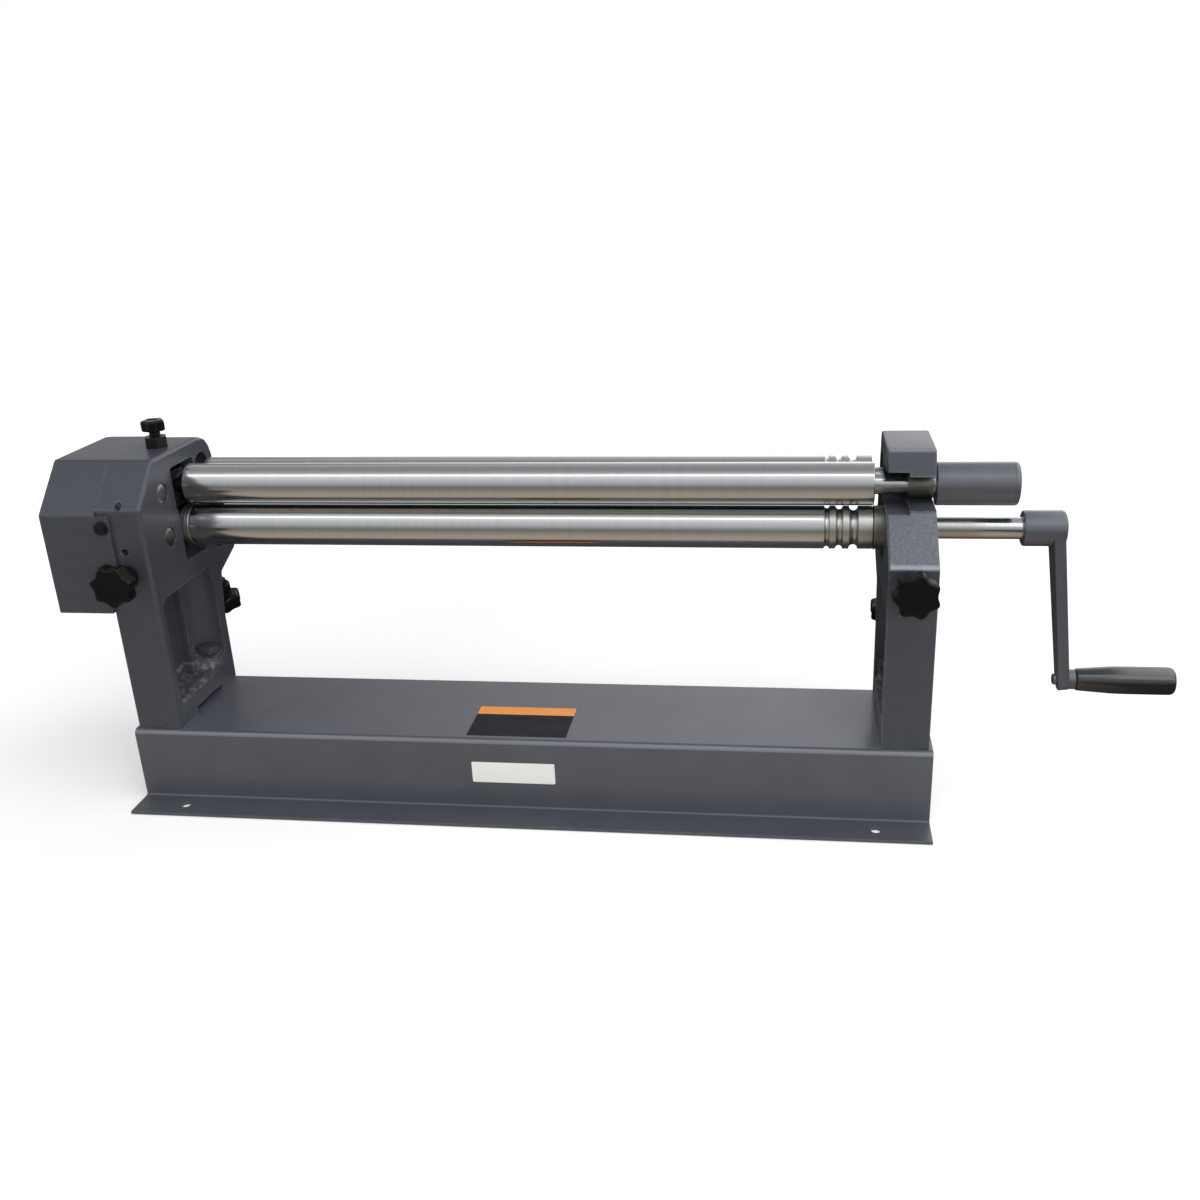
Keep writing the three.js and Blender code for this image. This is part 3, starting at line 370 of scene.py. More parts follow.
# Every group takes a place as its Vector, and the named numbers or vectors
def newGroup(name, results, **given):
    group = bpy.data.node_groups.new(name, "ShaderNodeTree")
    sockets = group.interface
    sockets.new_socket("Vector", in_out="INPUT", socket_type="NodeSocketVector")
    for label, value in given.items():
        kind = "NodeSocketVector" if isinstance(value, tuple) else "NodeSocketFloat"
        sockets.new_socket(label, in_out="INPUT", socket_type=kind).default_value = value
    for label in results:
        sockets.new_socket(label, in_out="OUTPUT", socket_type="NodeSocketFloat")
    return group, group.nodes.new("NodeGroupInput").outputs, group.nodes.new("NodeGroupOutput").inputs


# Lighter edges: worn, bare edges, and on the paint also a painted highlight along the edges
def makeEdgeWearAndHighlight(edges=(0.02, 0.25), breakupLevels=(0.4, 0.62)):
    group, given, result = newGroup("edgeWearAndHighlight", ["Mask"], Radius=0.0012, Breakup=260.0)
    bevel = newNode(group, "Bevel", given["Radius"], samples=4).outputs[0]
    normal = newNode(group, "NewGeometry").outputs["Normal"]
    dot = newNode(group, "VectorMath", bevel, normal, operation="DOT_PRODUCT").outputs["Value"]
    edge = rangeNode(group, mathNode(group, "SUBTRACT", 1.0, dot), *edges)
    breakupMask = rangeNode(group, noiseNode(group, given["Vector"], given["Breakup"]), *breakupLevels)
    feed(group, result["Mask"], mathNode(group, "MULTIPLY", edge, breakupMask, True))
    return group


def makeCastGrain(swellShare=1.6, mottle=(0.3, 0.7)):
    group, given, result = newGroup("castGrain", ["Height", "Mottle"], Grain=900.0, Swell=60.0)
    fine = noiseNode(group, given["Vector"], given["Grain"], 4.0, 0.6)
    broad = noiseNode(group, given["Vector"], given["Swell"], 3.0, 0.5)
    swell = mathNode(group, "MULTIPLY", broad, swellShare)
    feed(group, result["Height"], mathNode(group, "ADD", fine, swell))
    feed(group, result["Mottle"], rangeNode(group, broad, *mottle))
    return group


def makeGroundLines(wideShare=0.06, streaks=(0.3, 0.7)):
    group, given, result = newGroup(
        "groundLines", ["Height", "Streaks"], Stretch=(1.0, 0.02, 0.02), Fineness=2600.0)
    stretch = newNode(group, "VectorMath", given["Vector"], given["Stretch"], operation="MULTIPLY").outputs[0]
    wideness = mathNode(group, "MULTIPLY", given["Fineness"], wideShare)
    feed(group, result["Height"], noiseNode(group, stretch, given["Fineness"], 3.0, 0.65))
    feed(group, result["Streaks"], rangeNode(group, noiseNode(group, stretch, wideness, 3.0, 0.6), *streaks))
    return group


# Patches of noise, cut off between two levels
def makePatches(name, size, detail, roughness, levels):
    group, given, result = newGroup(name, ["Mask"], Size=size)
    cloud = noiseNode(group, given["Vector"], given["Size"], detail, roughness)
    feed(group, result["Mask"], rangeNode(group, cloud, *levels))
    return group


# Full inside a box in the row's frame, fading to nothing at its faces
def makeZone():
    group, given, result = newGroup(
        "zone", ["Mask"], Low=(0.0, 0.0, 0.0), High=(1.0, 1.0, 1.0), Soft=0.001)
    inside = []
    for first, second in (("Vector", "Low"), ("High", "Vector")):
        part = newNode(group, "VectorMath", given[first], given[second], operation="SUBTRACT").outputs[0]
        inside += list(newNode(group, "SeparateXYZ", part).outputs)
    nearest = inside[0]
    for distance in inside[1:]:
        nearest = mathNode(group, "MINIMUM", nearest, distance)
    feed(group, result["Mask"], mathNode(group, "DIVIDE", nearest, given["Soft"], True))
    return group


groups = {
    "zone": makeZone(),
    "scuffs": makePatches("scuffs", 90.0, 6.0, 0.75, (0.5, 0.62)),
    "smudges": makePatches("smudges", 14.0, 5.0, 0.62, (0.35, 0.68)),
    "edgeWearAndHighlight": makeEdgeWearAndHighlight(),
    "castGrain": makeCastGrain(),
    "groundLines": makeGroundLines(),
}

# Materials

print("materials")


class Finish:
    def __init__(self, name, color, roughness, metallic=0.0, coat=0.0, coatRoughness=0.15, specular=0.5):
        self.material = bpy.data.materials.new(name)
        self.material.use_nodes = True
        self.tree = self.material.node_tree
        self.shader = self.tree.nodes["Principled BSDF"].inputs
        for label, value in (("Metallic", metallic), ("Coat Weight", coat), ("Coat Roughness", coatRoughness),
                             ("Specular IOR Level", specular)):
            self.shader[label].default_value = value
        self.place = objectPlace(self.tree)
        self.color, self.roughness, self.height = (*color, 1), roughness, None

    def group(self, name, **values):
        node = newNode(self.tree, "Group", node_tree=groups[name])
        feed(self.tree, node.inputs["Vector"], self.place)
        for label, value in values.items():
            node.inputs[label].default_value = value
        return node.outputs

    def mask(self, name, **values):
        return self.group(name, **values)["Mask"]

    def both(self, first, second):
        return mathNode(self.tree, "MULTIPLY", first, second)

    def inside(self, low, high, soft):
        return self.mask("zone", Low=at(*low), High=at(*high), Soft=soft * mm)

    def tint(self, mask, color, share):
        mix = newNode(self.tree, "Mix", data_type="RGBA")
        factor = mathNode(self.tree, "MULTIPLY", mask, share, True)
        for socket, value in ((0, factor), (6, self.color), (7, (*color, 1))):
            feed(self.tree, mix.inputs[socket], value)
        self.color = mix.outputs[2]

    def tintZone(self, zone, mask=None):
        box, color, share = tintedZones[zone]
        inside = self.inside(*box)
        self.tint(inside if mask is None else self.both(mask, inside), color, share)
        return inside

    def rough(self, mask, change):
        part = self.both(mask, change)
        self.roughness = mathNode(self.tree, "ADD", part, self.roughness)

    def relief(self, height, amount):
        part = self.both(height, amount)
        self.height = part if self.height is None else mathNode(self.tree, "ADD", self.height, part)

    def done(self):
        feed(self.tree, self.shader["Base Color"], self.color)
        feed(self.tree, self.shader["Roughness"], self.roughness)
        if self.height is not None:
            bump = newNode(self.tree, "Bump", 1.0, 1.0)
            feed(self.tree, bump.inputs["Height"], self.height)
            feed(self.tree, self.shader["Normal"], bump.outputs["Normal"])
        return self.material


# The grain and swell are noise scales; the depth is in metres, and edge is the share of the lighter edge
# tint: worn paint and also a painted highlight
paintShape = {
    "base": {
        "color": (0.056, 0.061, 0.075), "wornAndLit": (0.19, 0.2, 0.23), "grain": 1500.0, "swell": 25.0,
        "depth": 0.000008, "edge": 0.5, "edgeRadius": 0.0016,
        "roughness": 0.34, "metallic": 0.0, "coat": 0.4, "coatRoughness": 0.12,
    },
    "cast": {
        "color": (0.0335, 0.0375, 0.047), "wornAndLit": (0.15, 0.155, 0.175), "grain": 800.0, "swell": 60.0,
        "depth": 0.00007, "edge": 0.7, "edgeRadius": 0.0028,
        "roughness": 0.38, "metallic": 0.0, "coat": 0.15, "coatRoughness": 0.12,
    },
    "crank": {
        "color": (0.078, 0.083, 0.098), "wornAndLit": (0.2, 0.21, 0.23), "grain": 900.0, "swell": 80.0,
        "depth": 0.00003, "edge": 0.3, "edgeRadius": 0.0013,
        "roughness": 0.34, "metallic": 0.45, "coat": 0.6, "coatRoughness": 0.25,
    },
}
paintMottle = {"light": 1.22, "share": 0.5, "smudges": 9.0, "rough": 0.10}

# Where the paint is tinted: scuffed in the pockets and bare and coarse on the right nose's slope; painted
# highlights along the base's front bend and the right nose's and hook's front edges: a box (low, high, soft
# rim), its color and its share
tintedZones = {
    # Painted highlight: a lighter strip along the base's front bend
    "bend": [((-356, -88.5, 65.6), (358, -85.2, 69.6), 1.0), (0.15, 0.155, 0.18), 0.7],
    "slope": [((313.9, -83.5, 229), (354, -35, 264.2), 1.2), (0.094, 0.1, 0.118), 0.8],
    # Painted highlights: lighter strips along the right nose's front edge and the hook's top front edge
    "noseEdge": [((313.9, -83.5, 228.6), (354, -77, 233.4), 1.6), (0.26, 0.27, 0.3), 0.8],
    "hookEdge": [((314, -20.2, 308.9), (353, -14.2, 312.5), 1.2), (0.17, 0.175, 0.19), 0.7],
    "pockets": [((-338, -73.4, 89), (340, 19.7, 106), 1.5), (0.2, 0.21, 0.22), 0.7],
}
pocketScuffs = 110.0
# The slope under the right hook is bare and coarse
coarseSlope = {
    "rough": 0.12, "scuffs": 420.0, "color": (0.15, 0.155, 0.175), "share": 0.5,
    "grain": 420.0, "swell": 200.0, "depth": 0.0006,
}


def paint(name, shape, mottle=paintMottle):
    finish = Finish(name + "Paint", shape["color"], shape["roughness"], shape["metallic"], shape["coat"],
                    shape["coatRoughness"])
    cast = finish.group("castGrain", Grain=shape["grain"], Swell=shape["swell"])
    finish.tint(cast["Mottle"], [c * mottle["light"] for c in shape["color"]], mottle["share"])
    # The lighter edge tint: worn paint, and also a painted highlight along the edges
    finish.tint(finish.mask("edgeWearAndHighlight", Radius=shape["edgeRadius"]), shape["wornAndLit"], shape["edge"])
    finish.rough(finish.mask("smudges", Size=mottle["smudges"]), mottle["rough"])
    finish.relief(cast["Height"], shape["depth"])
    return finish


def makePaints(coarse=coarseSlope):
    made = {name: paint(name, shape) for name, shape in paintShape.items()}
    # A painted highlight along the base's front bend
    made["base"].tintZone("bend")
    cast = made["cast"]
    slope = cast.tintZone("slope")
    cast.rough(slope, coarse["rough"])
    cast.tint(cast.both(cast.mask("scuffs", Size=coarse["scuffs"]), slope), coarse["color"], coarse["share"])
    # Painted highlights along the nose's and the hook's front edges
    cast.tintZone("noseEdge")
    cast.tintZone("hookEdge")
    grain = cast.group("castGrain", Grain=coarse["grain"], Swell=coarse["swell"])["Height"]
    cast.relief(cast.both(grain, slope), coarse["depth"])
    cast.tintZone("pockets", cast.mask("scuffs", Size=pocketScuffs))
    return {name: finish.done() for name, finish in made.items()}


# Name, color, roughness, stretch of the ground lines, their fineness and depth, roughness of the
# streaks, their share
metalShape = {
    "roll": ("rollSteel", (0.595, 0.605, 0.605), 0.13, (1.0, 0.03, 0.03), 2400.0, 0.0000003, 0.03, 0.2),
    "pin": ("pinSteel", (0.27, 0.275, 0.27), 0.3, (1.0, 1.0, 1.0), 900.0, 0.000001, 0.05, 0.3),
    # The machined blocks' near-black steel: their own oiled, oxidised tone, darkened further as painted shade
    # for their shaded slots
    "shadedMachined": ("machinedSteelAndPaintedShade", (0.05, 0.05, 0.052), 0.42, (1.0, 0.05, 1.0), 1500.0, 0.000002, 0.12, 0.5),
    # The right collar's steel is darker than the left collar's zinc: painted shade
    "collar": ("collarSteelWithPaintedShade", (0.30, 0.297, 0.265), 0.33, (1.0, 0.05, 0.05), 1500.0, 0.000002, 0.1, 0.5),
    "gear": ("gearSteel", (0.3, 0.295, 0.285), 0.36, (0.05, 1.0, 1.0), 1400.0, 0.000002, 0.12, 0.5),
    "zinc": ("zincSteel", (0.5, 0.505, 0.52), 0.28, (1.0, 1.0, 1.0), 700.0, 0.000001, 0.08, 0.4),
    "thread": ("threadSteel", (0.14, 0.14, 0.14), 0.32, (1.0, 1.0, 1.0), 700.0, 0.000001, 0.12, 0.5),
    "bronze": ("bearingBronze", (0.24, 0.24, 0.21), 0.36, (1.0, 0.05, 0.05), 1100.0, 0.000002, 0.1, 0.4),
}
metalShape["grooved"] = ("groovedRollSteel", *metalShape["roll"][1:])

# The oily right end of the lower and rear rolls, round their grooves
dullEnd = {"box": ((259, -40, 200), (400, 80, 320), 12), "color": (0.5, 0.49, 0.475), "share": 0.85,
           "rough": 0.17}
machinedEdge = {"radius": 0.0006, "color": (0.4, 0.4, 0.4), "share": 0.4}
gearOil = {"smudges": 60.0, "color": (0.09, 0.075, 0.05), "share": 0.45}


def steel(name, color, roughness, stretch, fineness, depth, streaks, share, shade=0.72, smudges=22.0,
          smudgeRough=0.04):
    finish = Finish(name, color, roughness, metallic=1.0)
    ground = finish.group("groundLines", Stretch=stretch, Fineness=fineness)
    finish.tint(ground["Streaks"], [c * shade for c in color], share)
    finish.rough(ground["Streaks"], streaks)
    finish.rough(finish.mask("smudges", Size=smudges), smudgeRough)
    finish.relief(ground["Height"], depth)
    return finish


def makeMetals():
    made = {key: steel(*values) for key, values in metalShape.items()}
    shadedMachined, grooved, gear = made["shadedMachined"], made["grooved"], made["gear"]
    wornAndLit = shadedMachined.mask("edgeWearAndHighlight", Radius=machinedEdge["radius"])
    shadedMachined.tint(wornAndLit, machinedEdge["color"], machinedEdge["share"])
    dull = grooved.inside(*dullEnd["box"])
    grooved.tint(dull, dullEnd["color"], dullEnd["share"])
    grooved.rough(dull, dullEnd["rough"])
    gear.tint(gear.mask("smudges", Size=gearOil["smudges"]), gearOil["color"], gearOil["share"])
    return {key: finish.done() for key, finish in made.items()}


# Name, color, roughness, specular, worn color, its share, roughness of smudges, grain, its depth
blackShape = {
    "oxide": ("blackOxide", (0.006, 0.006, 0.0065), 0.3, 0.28, (0.12, 0.12, 0.12), 0.45, 0.12),
    "boltHead": ("wornBoltHead", (0.04, 0.042, 0.047), 0.4, 0.5, (0.3, 0.3, 0.3), 0.9, 0.12, 900.0, 0.00004),
    "knob": ("knobPlastic", (0.003, 0.003, 0.0033), 0.24, 0.18, (0.05, 0.05, 0.05), 0.5, 0.06, 1600.0,
             0.000006),
    "grip": ("gripPlastic", (0.010, 0.010, 0.011), 0.15, 1.0, (0.03, 0.03, 0.03), 0.2, 0.05, 600.0,
             0.000003),
    "darkPlate": ("bareDarkPlate", (0.009, 0.009, 0.014), 0.5, 0.12, (0.05, 0.05, 0.05), 0.4, 0.12),
}
# Name, color, roughness, size of the smudges, their color and share
lightShape = {
    "whitePlate": ("bareWhitePlate", (0.75, 0.74, 0.715), 0.32, 50.0, (0.66, 0.65, 0.62), 0.3),
    "orangePlate": ("bareOrangePlate", (0.80, 0.27, 0.03), 0.36, 80.0, (0.62, 0.20, 0.03), 0.4),
}


def blackened(name, color, roughness, specular, wornAndLit, share, smudgeRough, grain=0.0, depth=0.0, radius=0.0005,
              smudges=60.0, grainPerSwell=14):
    finish = Finish(name, color, roughness, specular=specular)
    finish.tint(finish.mask("edgeWearAndHighlight", Radius=radius), wornAndLit, share)
    finish.rough(finish.mask("smudges", Size=smudges), smudgeRough)
    if grain:
        finish.relief(finish.group("castGrain", Grain=grain, Swell=grain / grainPerSwell)["Height"], depth)
    return finish.done()


def smudged(name, color, roughness, size, smudgeColor, share):
    finish = Finish(name, color, roughness)
    finish.tint(finish.mask("smudges", Size=size), smudgeColor, share)
    return finish.done()


finishes = {
    **makePaints(), **makeMetals(),
    **{key: blackened(*values) for key, values in blackShape.items()},
    **{key: smudged(*values) for key, values in lightShape.items()},
}

# Making pieces

print("pieces")

bodyOf = {node: body for body, members in frame["record"]["behaviour"]["bodies"].items() for node in members}


# A piece that replaces a CAD node rides that node's body; one without a node rides the frame
def addPiece(name, bm, finish, *replaced, sharp=38, weighted=True):
    weld(bm)
    mesh = meshFrom(name, bm)
    mesh.shade_smooth()
    mesh.set_sharp_from_angle(angle=radians(sharp))
    mesh.materials.append(finishes[finish])
    piece = linked(name, mesh)
    if weighted:
        flat = piece.modifiers.new("flatFaces", "WEIGHTED_NORMAL")
        flat.keep_sharp = True
        flat.weight = 80
    body = bodyOf[replaced[0]] if replaced else "frame"
    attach(piece, body)
    if replaced:
        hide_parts(*replaced)


def roundEdges(bm, edges, width, segments=3, clamp=True):
    bmesh.ops.bevel(bm, geom=list(edges), offset=width * mm, offset_type="OFFSET", segments=segments,
                    profile=0.5, affect="EDGES", clamp_overlap=clamp, material=-1)


def hardEdges(bm, angle=30, shortest=0.0):
    return [
        e for e in bm.edges
        if len(e.link_faces) == 2 and e.calc_length() > shortest * mm
        and e.calc_face_angle(0) > radians(angle)
    ]


# A copy of a CAD node with its flat faces joined
def copyOf(node):
    bm = bmesh.new()
    bm.from_mesh(frame["nodes"][node].data)
    weld(bm, 2e-6)
    bmesh.ops.dissolve_limit(bm, angle_limit=radians(0.4), verts=bm.verts, edges=bm.edges)
    return bm


# A CAD node as a piece, with its hard edges rounded
def softened(name, node, finish, width, shortest=0.0, segments=2):
    bm = copyOf(node)
    roundEdges(bm, hardEdges(bm, 30, shortest), width, segments)
    addPiece(name, bm, finish, node)


# A profile of (along, radius) points spun round X, or round Z if upright; centre in row metres
def spun(profile, centre=(0, 0, 0), upright=False, steps=96, closed=False, rounding=0.0):
    bm = bmesh.new()
    verts, lines = wire(bm, [(along * mm, 0, radius * mm) for along, radius in profile], closed)
    bmesh.ops.spin(bm, geom=verts + lines, cent=(0, 0, 0), axis=(1, 0, 0), dvec=(0, 0, 0),
                   angle=tau, steps=steps, use_merge=True, use_duplicate=False)
    weld(bm, 1e-7)
    faceOutward(bm)
    if rounding:
        roundEdges(bm, hardEdges(bm, 50), rounding, 2)
    if upright:
        placed(bm, turned(-90, "Y"))
    bmesh.ops.translate(bm, vec=centre, verts=bm.verts)
    return bm


# A turned corner from a profile's left face to its surface, or back to its right face if way is -1;
# bulge is the middle point of a rounded one
def corner(end, radius, way, size, bulge=None):
    steps = [(0, size), bulge, (size, 0)] if bulge else [(0, size), (size, 0)]
    return [(end + way * back, radius - drop) for back, drop in steps][::way]


# A line turned into a surface
def turnedLine(place, radius, half, depth, slope=0.2):
    return [(place - half - slope, radius), (place - half, radius - depth),
            (place + half, radius - depth), (place + half + slope, radius)]


def joined(bm, other):
    mesh = meshFrom("part", other)
    bm.from_mesh(mesh)
    bpy.data.meshes.remove(mesh)
    return bm


# Rolls

print("rolls")

rollShape = {
    "end": 305, "radius": 18.4, "corner": (1.0, (0.3, 0.3)), "steps": 128,
    "grooves": [(38.7, 2.2), (28.3, 3.0), (16.3, 3.8)], "grooveSteps": 12,
}
# The journals' profiles outside the body, and each roll's axis
rolls = {
    "upper": {
        "left": [(-374.8, 0), (-374.8, 7.6), (-374.4, 8), (-357.9, 8), (-357.9, 11)],
        "right": [(414.3, 9), (414.3, 0)],
        "axis": upperAxle, "finish": "roll",
    },
    "lower": {
        "left": [(-386.8, 0), (-386.8, 7), (-386.4, 7.5), (-371.9, 7.5), (-371.9, 9.4)],
        "right": [(455.1, 9.4), (455.4, 9), (455.4, 0)],
        "axis": lowerAxle, "finish": "grooved",
    },
    "rear": {
        "left": [(-349.2, 0), (-349.2, 7.5), (-348.7, 8)],
        "right": [(350.9, 8), (351.4, 7.5), (351.4, 0)],
        "axis": at(0, machine["rearBack"], machine["rearAxis"]), "finish": "grooved",
    },
}


def rollBody(grooved, shape=rollShape):
    end, radius = shape["end"], shape["radius"]
    profile = corner(-end, radius, 1, *shape["corner"])
    if grooved:
        for back, size in shape["grooves"]:
            for step in range(shape["grooveSteps"] + 1):
                turn = pi * step / shape["grooveSteps"]
                profile.append((end - back - size * cos(turn), radius - size * sin(turn)))
    return profile + corner(end, radius, -1, *shape["corner"])


def makeRolls():
    end = rollShape["end"]
    for name, roll in rolls.items():
        left = [*roll["left"], (-end, roll["left"][-1][1])]
        right = [(end, roll["right"][0][1]), *roll["right"]]
        profile = left + rollBody(roll["finish"] == "grooved") + right
        bm = spun(profile, roll["axis"], steps=rollShape["steps"])
        addPiece(name + "Roll", bm, roll["finish"], name + "_roll", sharp=30)


makeRolls()

# What the rolls run in

bushShape = {"start": 332.3, "end": 353.4, "inner": 9.3, "outer": 12.4, "rounding": 0.4}
gripShape = {
    "start": 355.3, "length": 67.3, "radius": 18.25, "bore": 9.3, "solid": 8,
    "corners": ((1, (0.3, 0.3)), (2, (0.7, 0.6))), "line": 4.7, "lineHalf": 0.3, "lineDepth": 0.3,
}
collarShape = {
    "inner": 9.7, "radius": 18.9, "chamfer": 0.5, "lineHalf": 0.4, "lineDepth": 0.7,
    "left": {"finish": "zinc", "start": -314.4, "end": -305.3, "lines": (-311.6, -308.6)},
    # The right collar's darker steel is painted shade
    "right": {"finish": "collar", "start": 305.3, "end": 316.6, "lines": (307.4, 309.6, 311.8)},
}


def makeBush(shape=bushShape):
    start, end, inner, outer = shape["start"], shape["end"], shape["inner"], shape["outer"]
    bm = spun([(start, inner), (start, outer), (end, outer), (end, inner)], upperAxle, closed=True,
              rounding=shape["rounding"])
    addPiece("hookBush", bm, "bronze", "upper_roll_bush")


def makeLiftGrip(shape=gripShape):
    start, radius, bore = shape["start"], shape["radius"], shape["bore"]
    end = start + shape["length"]
    floor = end - shape["solid"]
    first, last = shape["corners"]
    profile = [
        (start, bore), *corner(start, radius, 1, *first),
        *turnedLine(end - shape["line"], radius, shape["lineHalf"], shape["lineDepth"]),
        *corner(end, radius, -1, *last), (end, 0), (floor, 0), (floor, bore),
    ]
    addPiece("liftGrip", spun(profile, upperAxle, closed=True), "crank", "upper_roll_lift_grip")


def makeCollars(shape=collarShape):
    radius = shape["radius"]
    for side in ("left", "right"):
        part = shape[side]
        profile = [(part["start"], shape["inner"]), *corner(part["start"], radius, 1, shape["chamfer"])]
        for line in part["lines"]:
            profile += turnedLine(line, radius, shape["lineHalf"], shape["lineDepth"])
        profile += [*corner(part["end"], radius, -1, shape["chamfer"]), (part["end"], shape["inner"])]
        bm = spun(profile, lowerAxle, closed=True)
        addPiece("collar" + side.title(), bm, part["finish"], "lower_collar_" + side, sharp=30)


makeBush()
makeLiftGrip()
makeCollars()

# The width of the rounded edges, and the length below which an edge stays sharp
blockShape = {
    "lower_bearing": (0.6, 1.8), "rear_bearing": (0.6, 1.8), "wedge": (0.4, 1.8),
    "pivot": (0.5, 1.9), "seat": (0.5, 0.0),
}


def makeBlocks(shape=blockShape):
    # The blocks' steel is darkened as painted shade for the shaded slots they sit in, besides its own oiled,
    # oxidised tone
    for kind in ("lower_bearing", "rear_bearing", "wedge"):
        for side in ("left", "right"):
            node = f"{kind}_{side}"
            softened(node.replace("_", "") + "Block", node, "shadedMachined", *shape[kind])
    softened("pivotBlock", "upper_pivot_block", "shadedMachined", *shape["pivot"])
    softened("pivotSeat", "upper_pivot_seat", "oxide", *shape["seat"])


makeBlocks()

# Stands, cover and base

print("stands and base")

# Rims with a wider rounding: at the left the inner face's front, slope and top; at the right the hook
castShape = {
    "outer": 1.2, "cover": 1.4, "steps": 3, "shortest": 1.8,
    "left": {"faces": (-311.2,), "width": 4.0, "steps": 6, "top": 309.9, "above": 70, "front": -77,
             "slope": 356},
    "right": {"faces": (313.4, 353.4), "width": 2.2, "steps": 5, "top": 311.6, "topBand": 1.7,
              "above": 268, "front": -18, "lean": 0.4, "frontBand": 1.6},
}


def onLeftRim(y, z, rim=castShape["left"]):
    return z > rim["above"] and (y < rim["front"] or z - y > rim["slope"] or z > rim["top"])


def onRightRim(y, z, rim=castShape["right"]):
    ahead = y - rim["front"] - (z - rim["top"]) * rim["lean"]
    return z > rim["top"] - rim["topBand"] or z > rim["above"] and abs(ahead) < rim["frontBand"]


# The hard edges of a flat end face whose two ends both pass the test
def rimEdges(bm, face, wanted):
    found = []
    for edge in hardEdges(bm, 40):
        points = [(v.co - home) / mm for v in edge.verts]
        if all(abs(p.x - face) < 0.05 and wanted(p.y, p.z) for p in points):
            found.append(edge)
    return found


def makeStands(shape=castShape):
    for side, onRim in (("left", onLeftRim), ("right", onRightRim)):
        rim, node = shape[side], side + "_stand"
        bm = copyOf(node)
        edges = [edge for face in rim["faces"] for edge in rimEdges(bm, face, onRim)]
        roundEdges(bm, edges, rim["width"], rim["steps"], False)
        roundEdges(bm, hardEdges(bm, 30, shape["shortest"]), shape["outer"], shape["steps"])
        addPiece("stand" + side.title(), bm, "cast", node)
    softened("gearCover", "gear_cover", "cast", shape["cover"], shape["shortest"], shape["steps"])


makeStands()

baseShape = {
    "start": -354.6, "length": 711.5, "front": -87.7, "rear": 35.1, "height": 70.0,
    "flange": 30.5, "sheet": 3.0, "bend": 3.5, "bendSteps": 8, "edge": 0.35,
    "benchHoles": 4.4, "holeInset": 46.0, "holeSteps": 48,
}


def benchHoleCutter(shape):
    holes = bmesh.new()
    end = shape["start"] + shape["length"]
    for x in (shape["start"] + shape["holeInset"], end - shape["holeInset"]):
        for y in (shape["front"] - shape["flange"] / 2, shape["rear"] + shape["flange"] / 2):
            bmesh.ops.create_cone(holes, cap_ends=True, segments=shape["holeSteps"],
                                  radius1=shape["benchHoles"] * mm, radius2=shape["benchHoles"] * mm,
                                  depth=0.02, matrix=moved(x, y, 0))
    return linked("benchHoleCutter", meshFrom("benchHoles", holes))


# The sheet's middle surface, bent, given its thickness and drilled
def makeBase(shape=baseShape):
    half, front, rear, flange = shape["sheet"] / 2, shape["front"], shape["rear"], shape["flange"]
    top = shape["height"] - half
    line = [(front - flange, half), (front + half, half), (front + half, top),
            (rear - half, top), (rear - half, half), (rear + flange, half)]
    bm = bmesh.new()
    lines = wire(bm, [at(shape["start"], y, z) for y, z in line])[1]
    moveNew(bm, bmesh.ops.extrude_edge_only(bm, edges=lines), (shape["length"] * mm, 0, 0))
    bends = [e for e in bm.edges if len(e.link_faces) == 2]
    roundEdges(bm, bends, shape["bend"], shape["bendSteps"])
    faceOutward(bm)
    blank = linked("baseSheetBlank", meshFrom("baseSheet", bm))
    wall = blank.modifiers.new("wall", "SOLIDIFY")
    wall.thickness = shape["sheet"] * mm
    wall.offset = 0
    wall.use_even_offset = True
    cutter = benchHoleCutter(shape)
    cut = blank.modifiers.new("holes", "BOOLEAN")
    cut.object = cutter
    cut.solver = "EXACT"
    bpy.context.view_layer.update()
    solid = bpy.data.meshes.new_from_object(blank.evaluated_get(bpy.context.evaluated_depsgraph_get()))
    bpy.data.objects.remove(blank)
    bpy.data.objects.remove(cutter)
    bm = bmesh.new()
    bm.from_mesh(solid)
    bpy.data.meshes.remove(solid)
    weld(bm)
    roundEdges(bm, hardEdges(bm, 50), shape["edge"], 2)
    addPiece("baseChannel", bm, "base", "base_channel")


makeBase()

# The front plate and the two-tone label on the base; gap is the air behind them
plateShape = {
    "gap": 0.02, "seam": 0.05,
    "front": {"x": (-41, 33.5), "z": (28.1, 48), "proud": 0.5, "corner": 1.2},
    "top": {"x": (-46, 43.5), "y": (-79.5, -23), "band": 15, "proud": 0.2, "corner": 1},
}


def plate(name, low, high, finish, thin, rounding):
    bm = bmesh.new()
    bmesh.ops.create_cube(bm, size=1)
    bmesh.ops.scale(bm, vec=high - low, verts=bm.verts)
    bmesh.ops.translate(bm, vec=(low + high) / 2, verts=bm.verts)
    roundEdges(bm, [e for e in bm.edges if span(e, thin) > 1e-5], rounding, 5)
    addPiece(name, bm, finish)


def makePlates(shape=plateShape):
    front, top, gap, seam = shape["front"], shape["top"], shape["gap"], shape["seam"]
    y, z = baseShape["front"], baseShape["height"]
    (left, right), (low, high) = front["x"], front["z"]
    plate("frontPlate", at(left, y - front["proud"], low), at(right, y - gap, high), "whitePlate", 1,
          front["corner"])
    (left, right), (near, far) = top["x"], top["y"]
    band = far - top["band"]
    for name, start, end, finish in (
        ("topPlate", near, band - seam, "darkPlate"), ("topPlateBand", band + seam, far, "orangePlate"),
    ):
        plate(name, at(left, start, z + gap), at(right, end, z + top["proud"]), finish, 2, top["corner"])


makePlates()

# Knobs

print("knobs and fasteners")

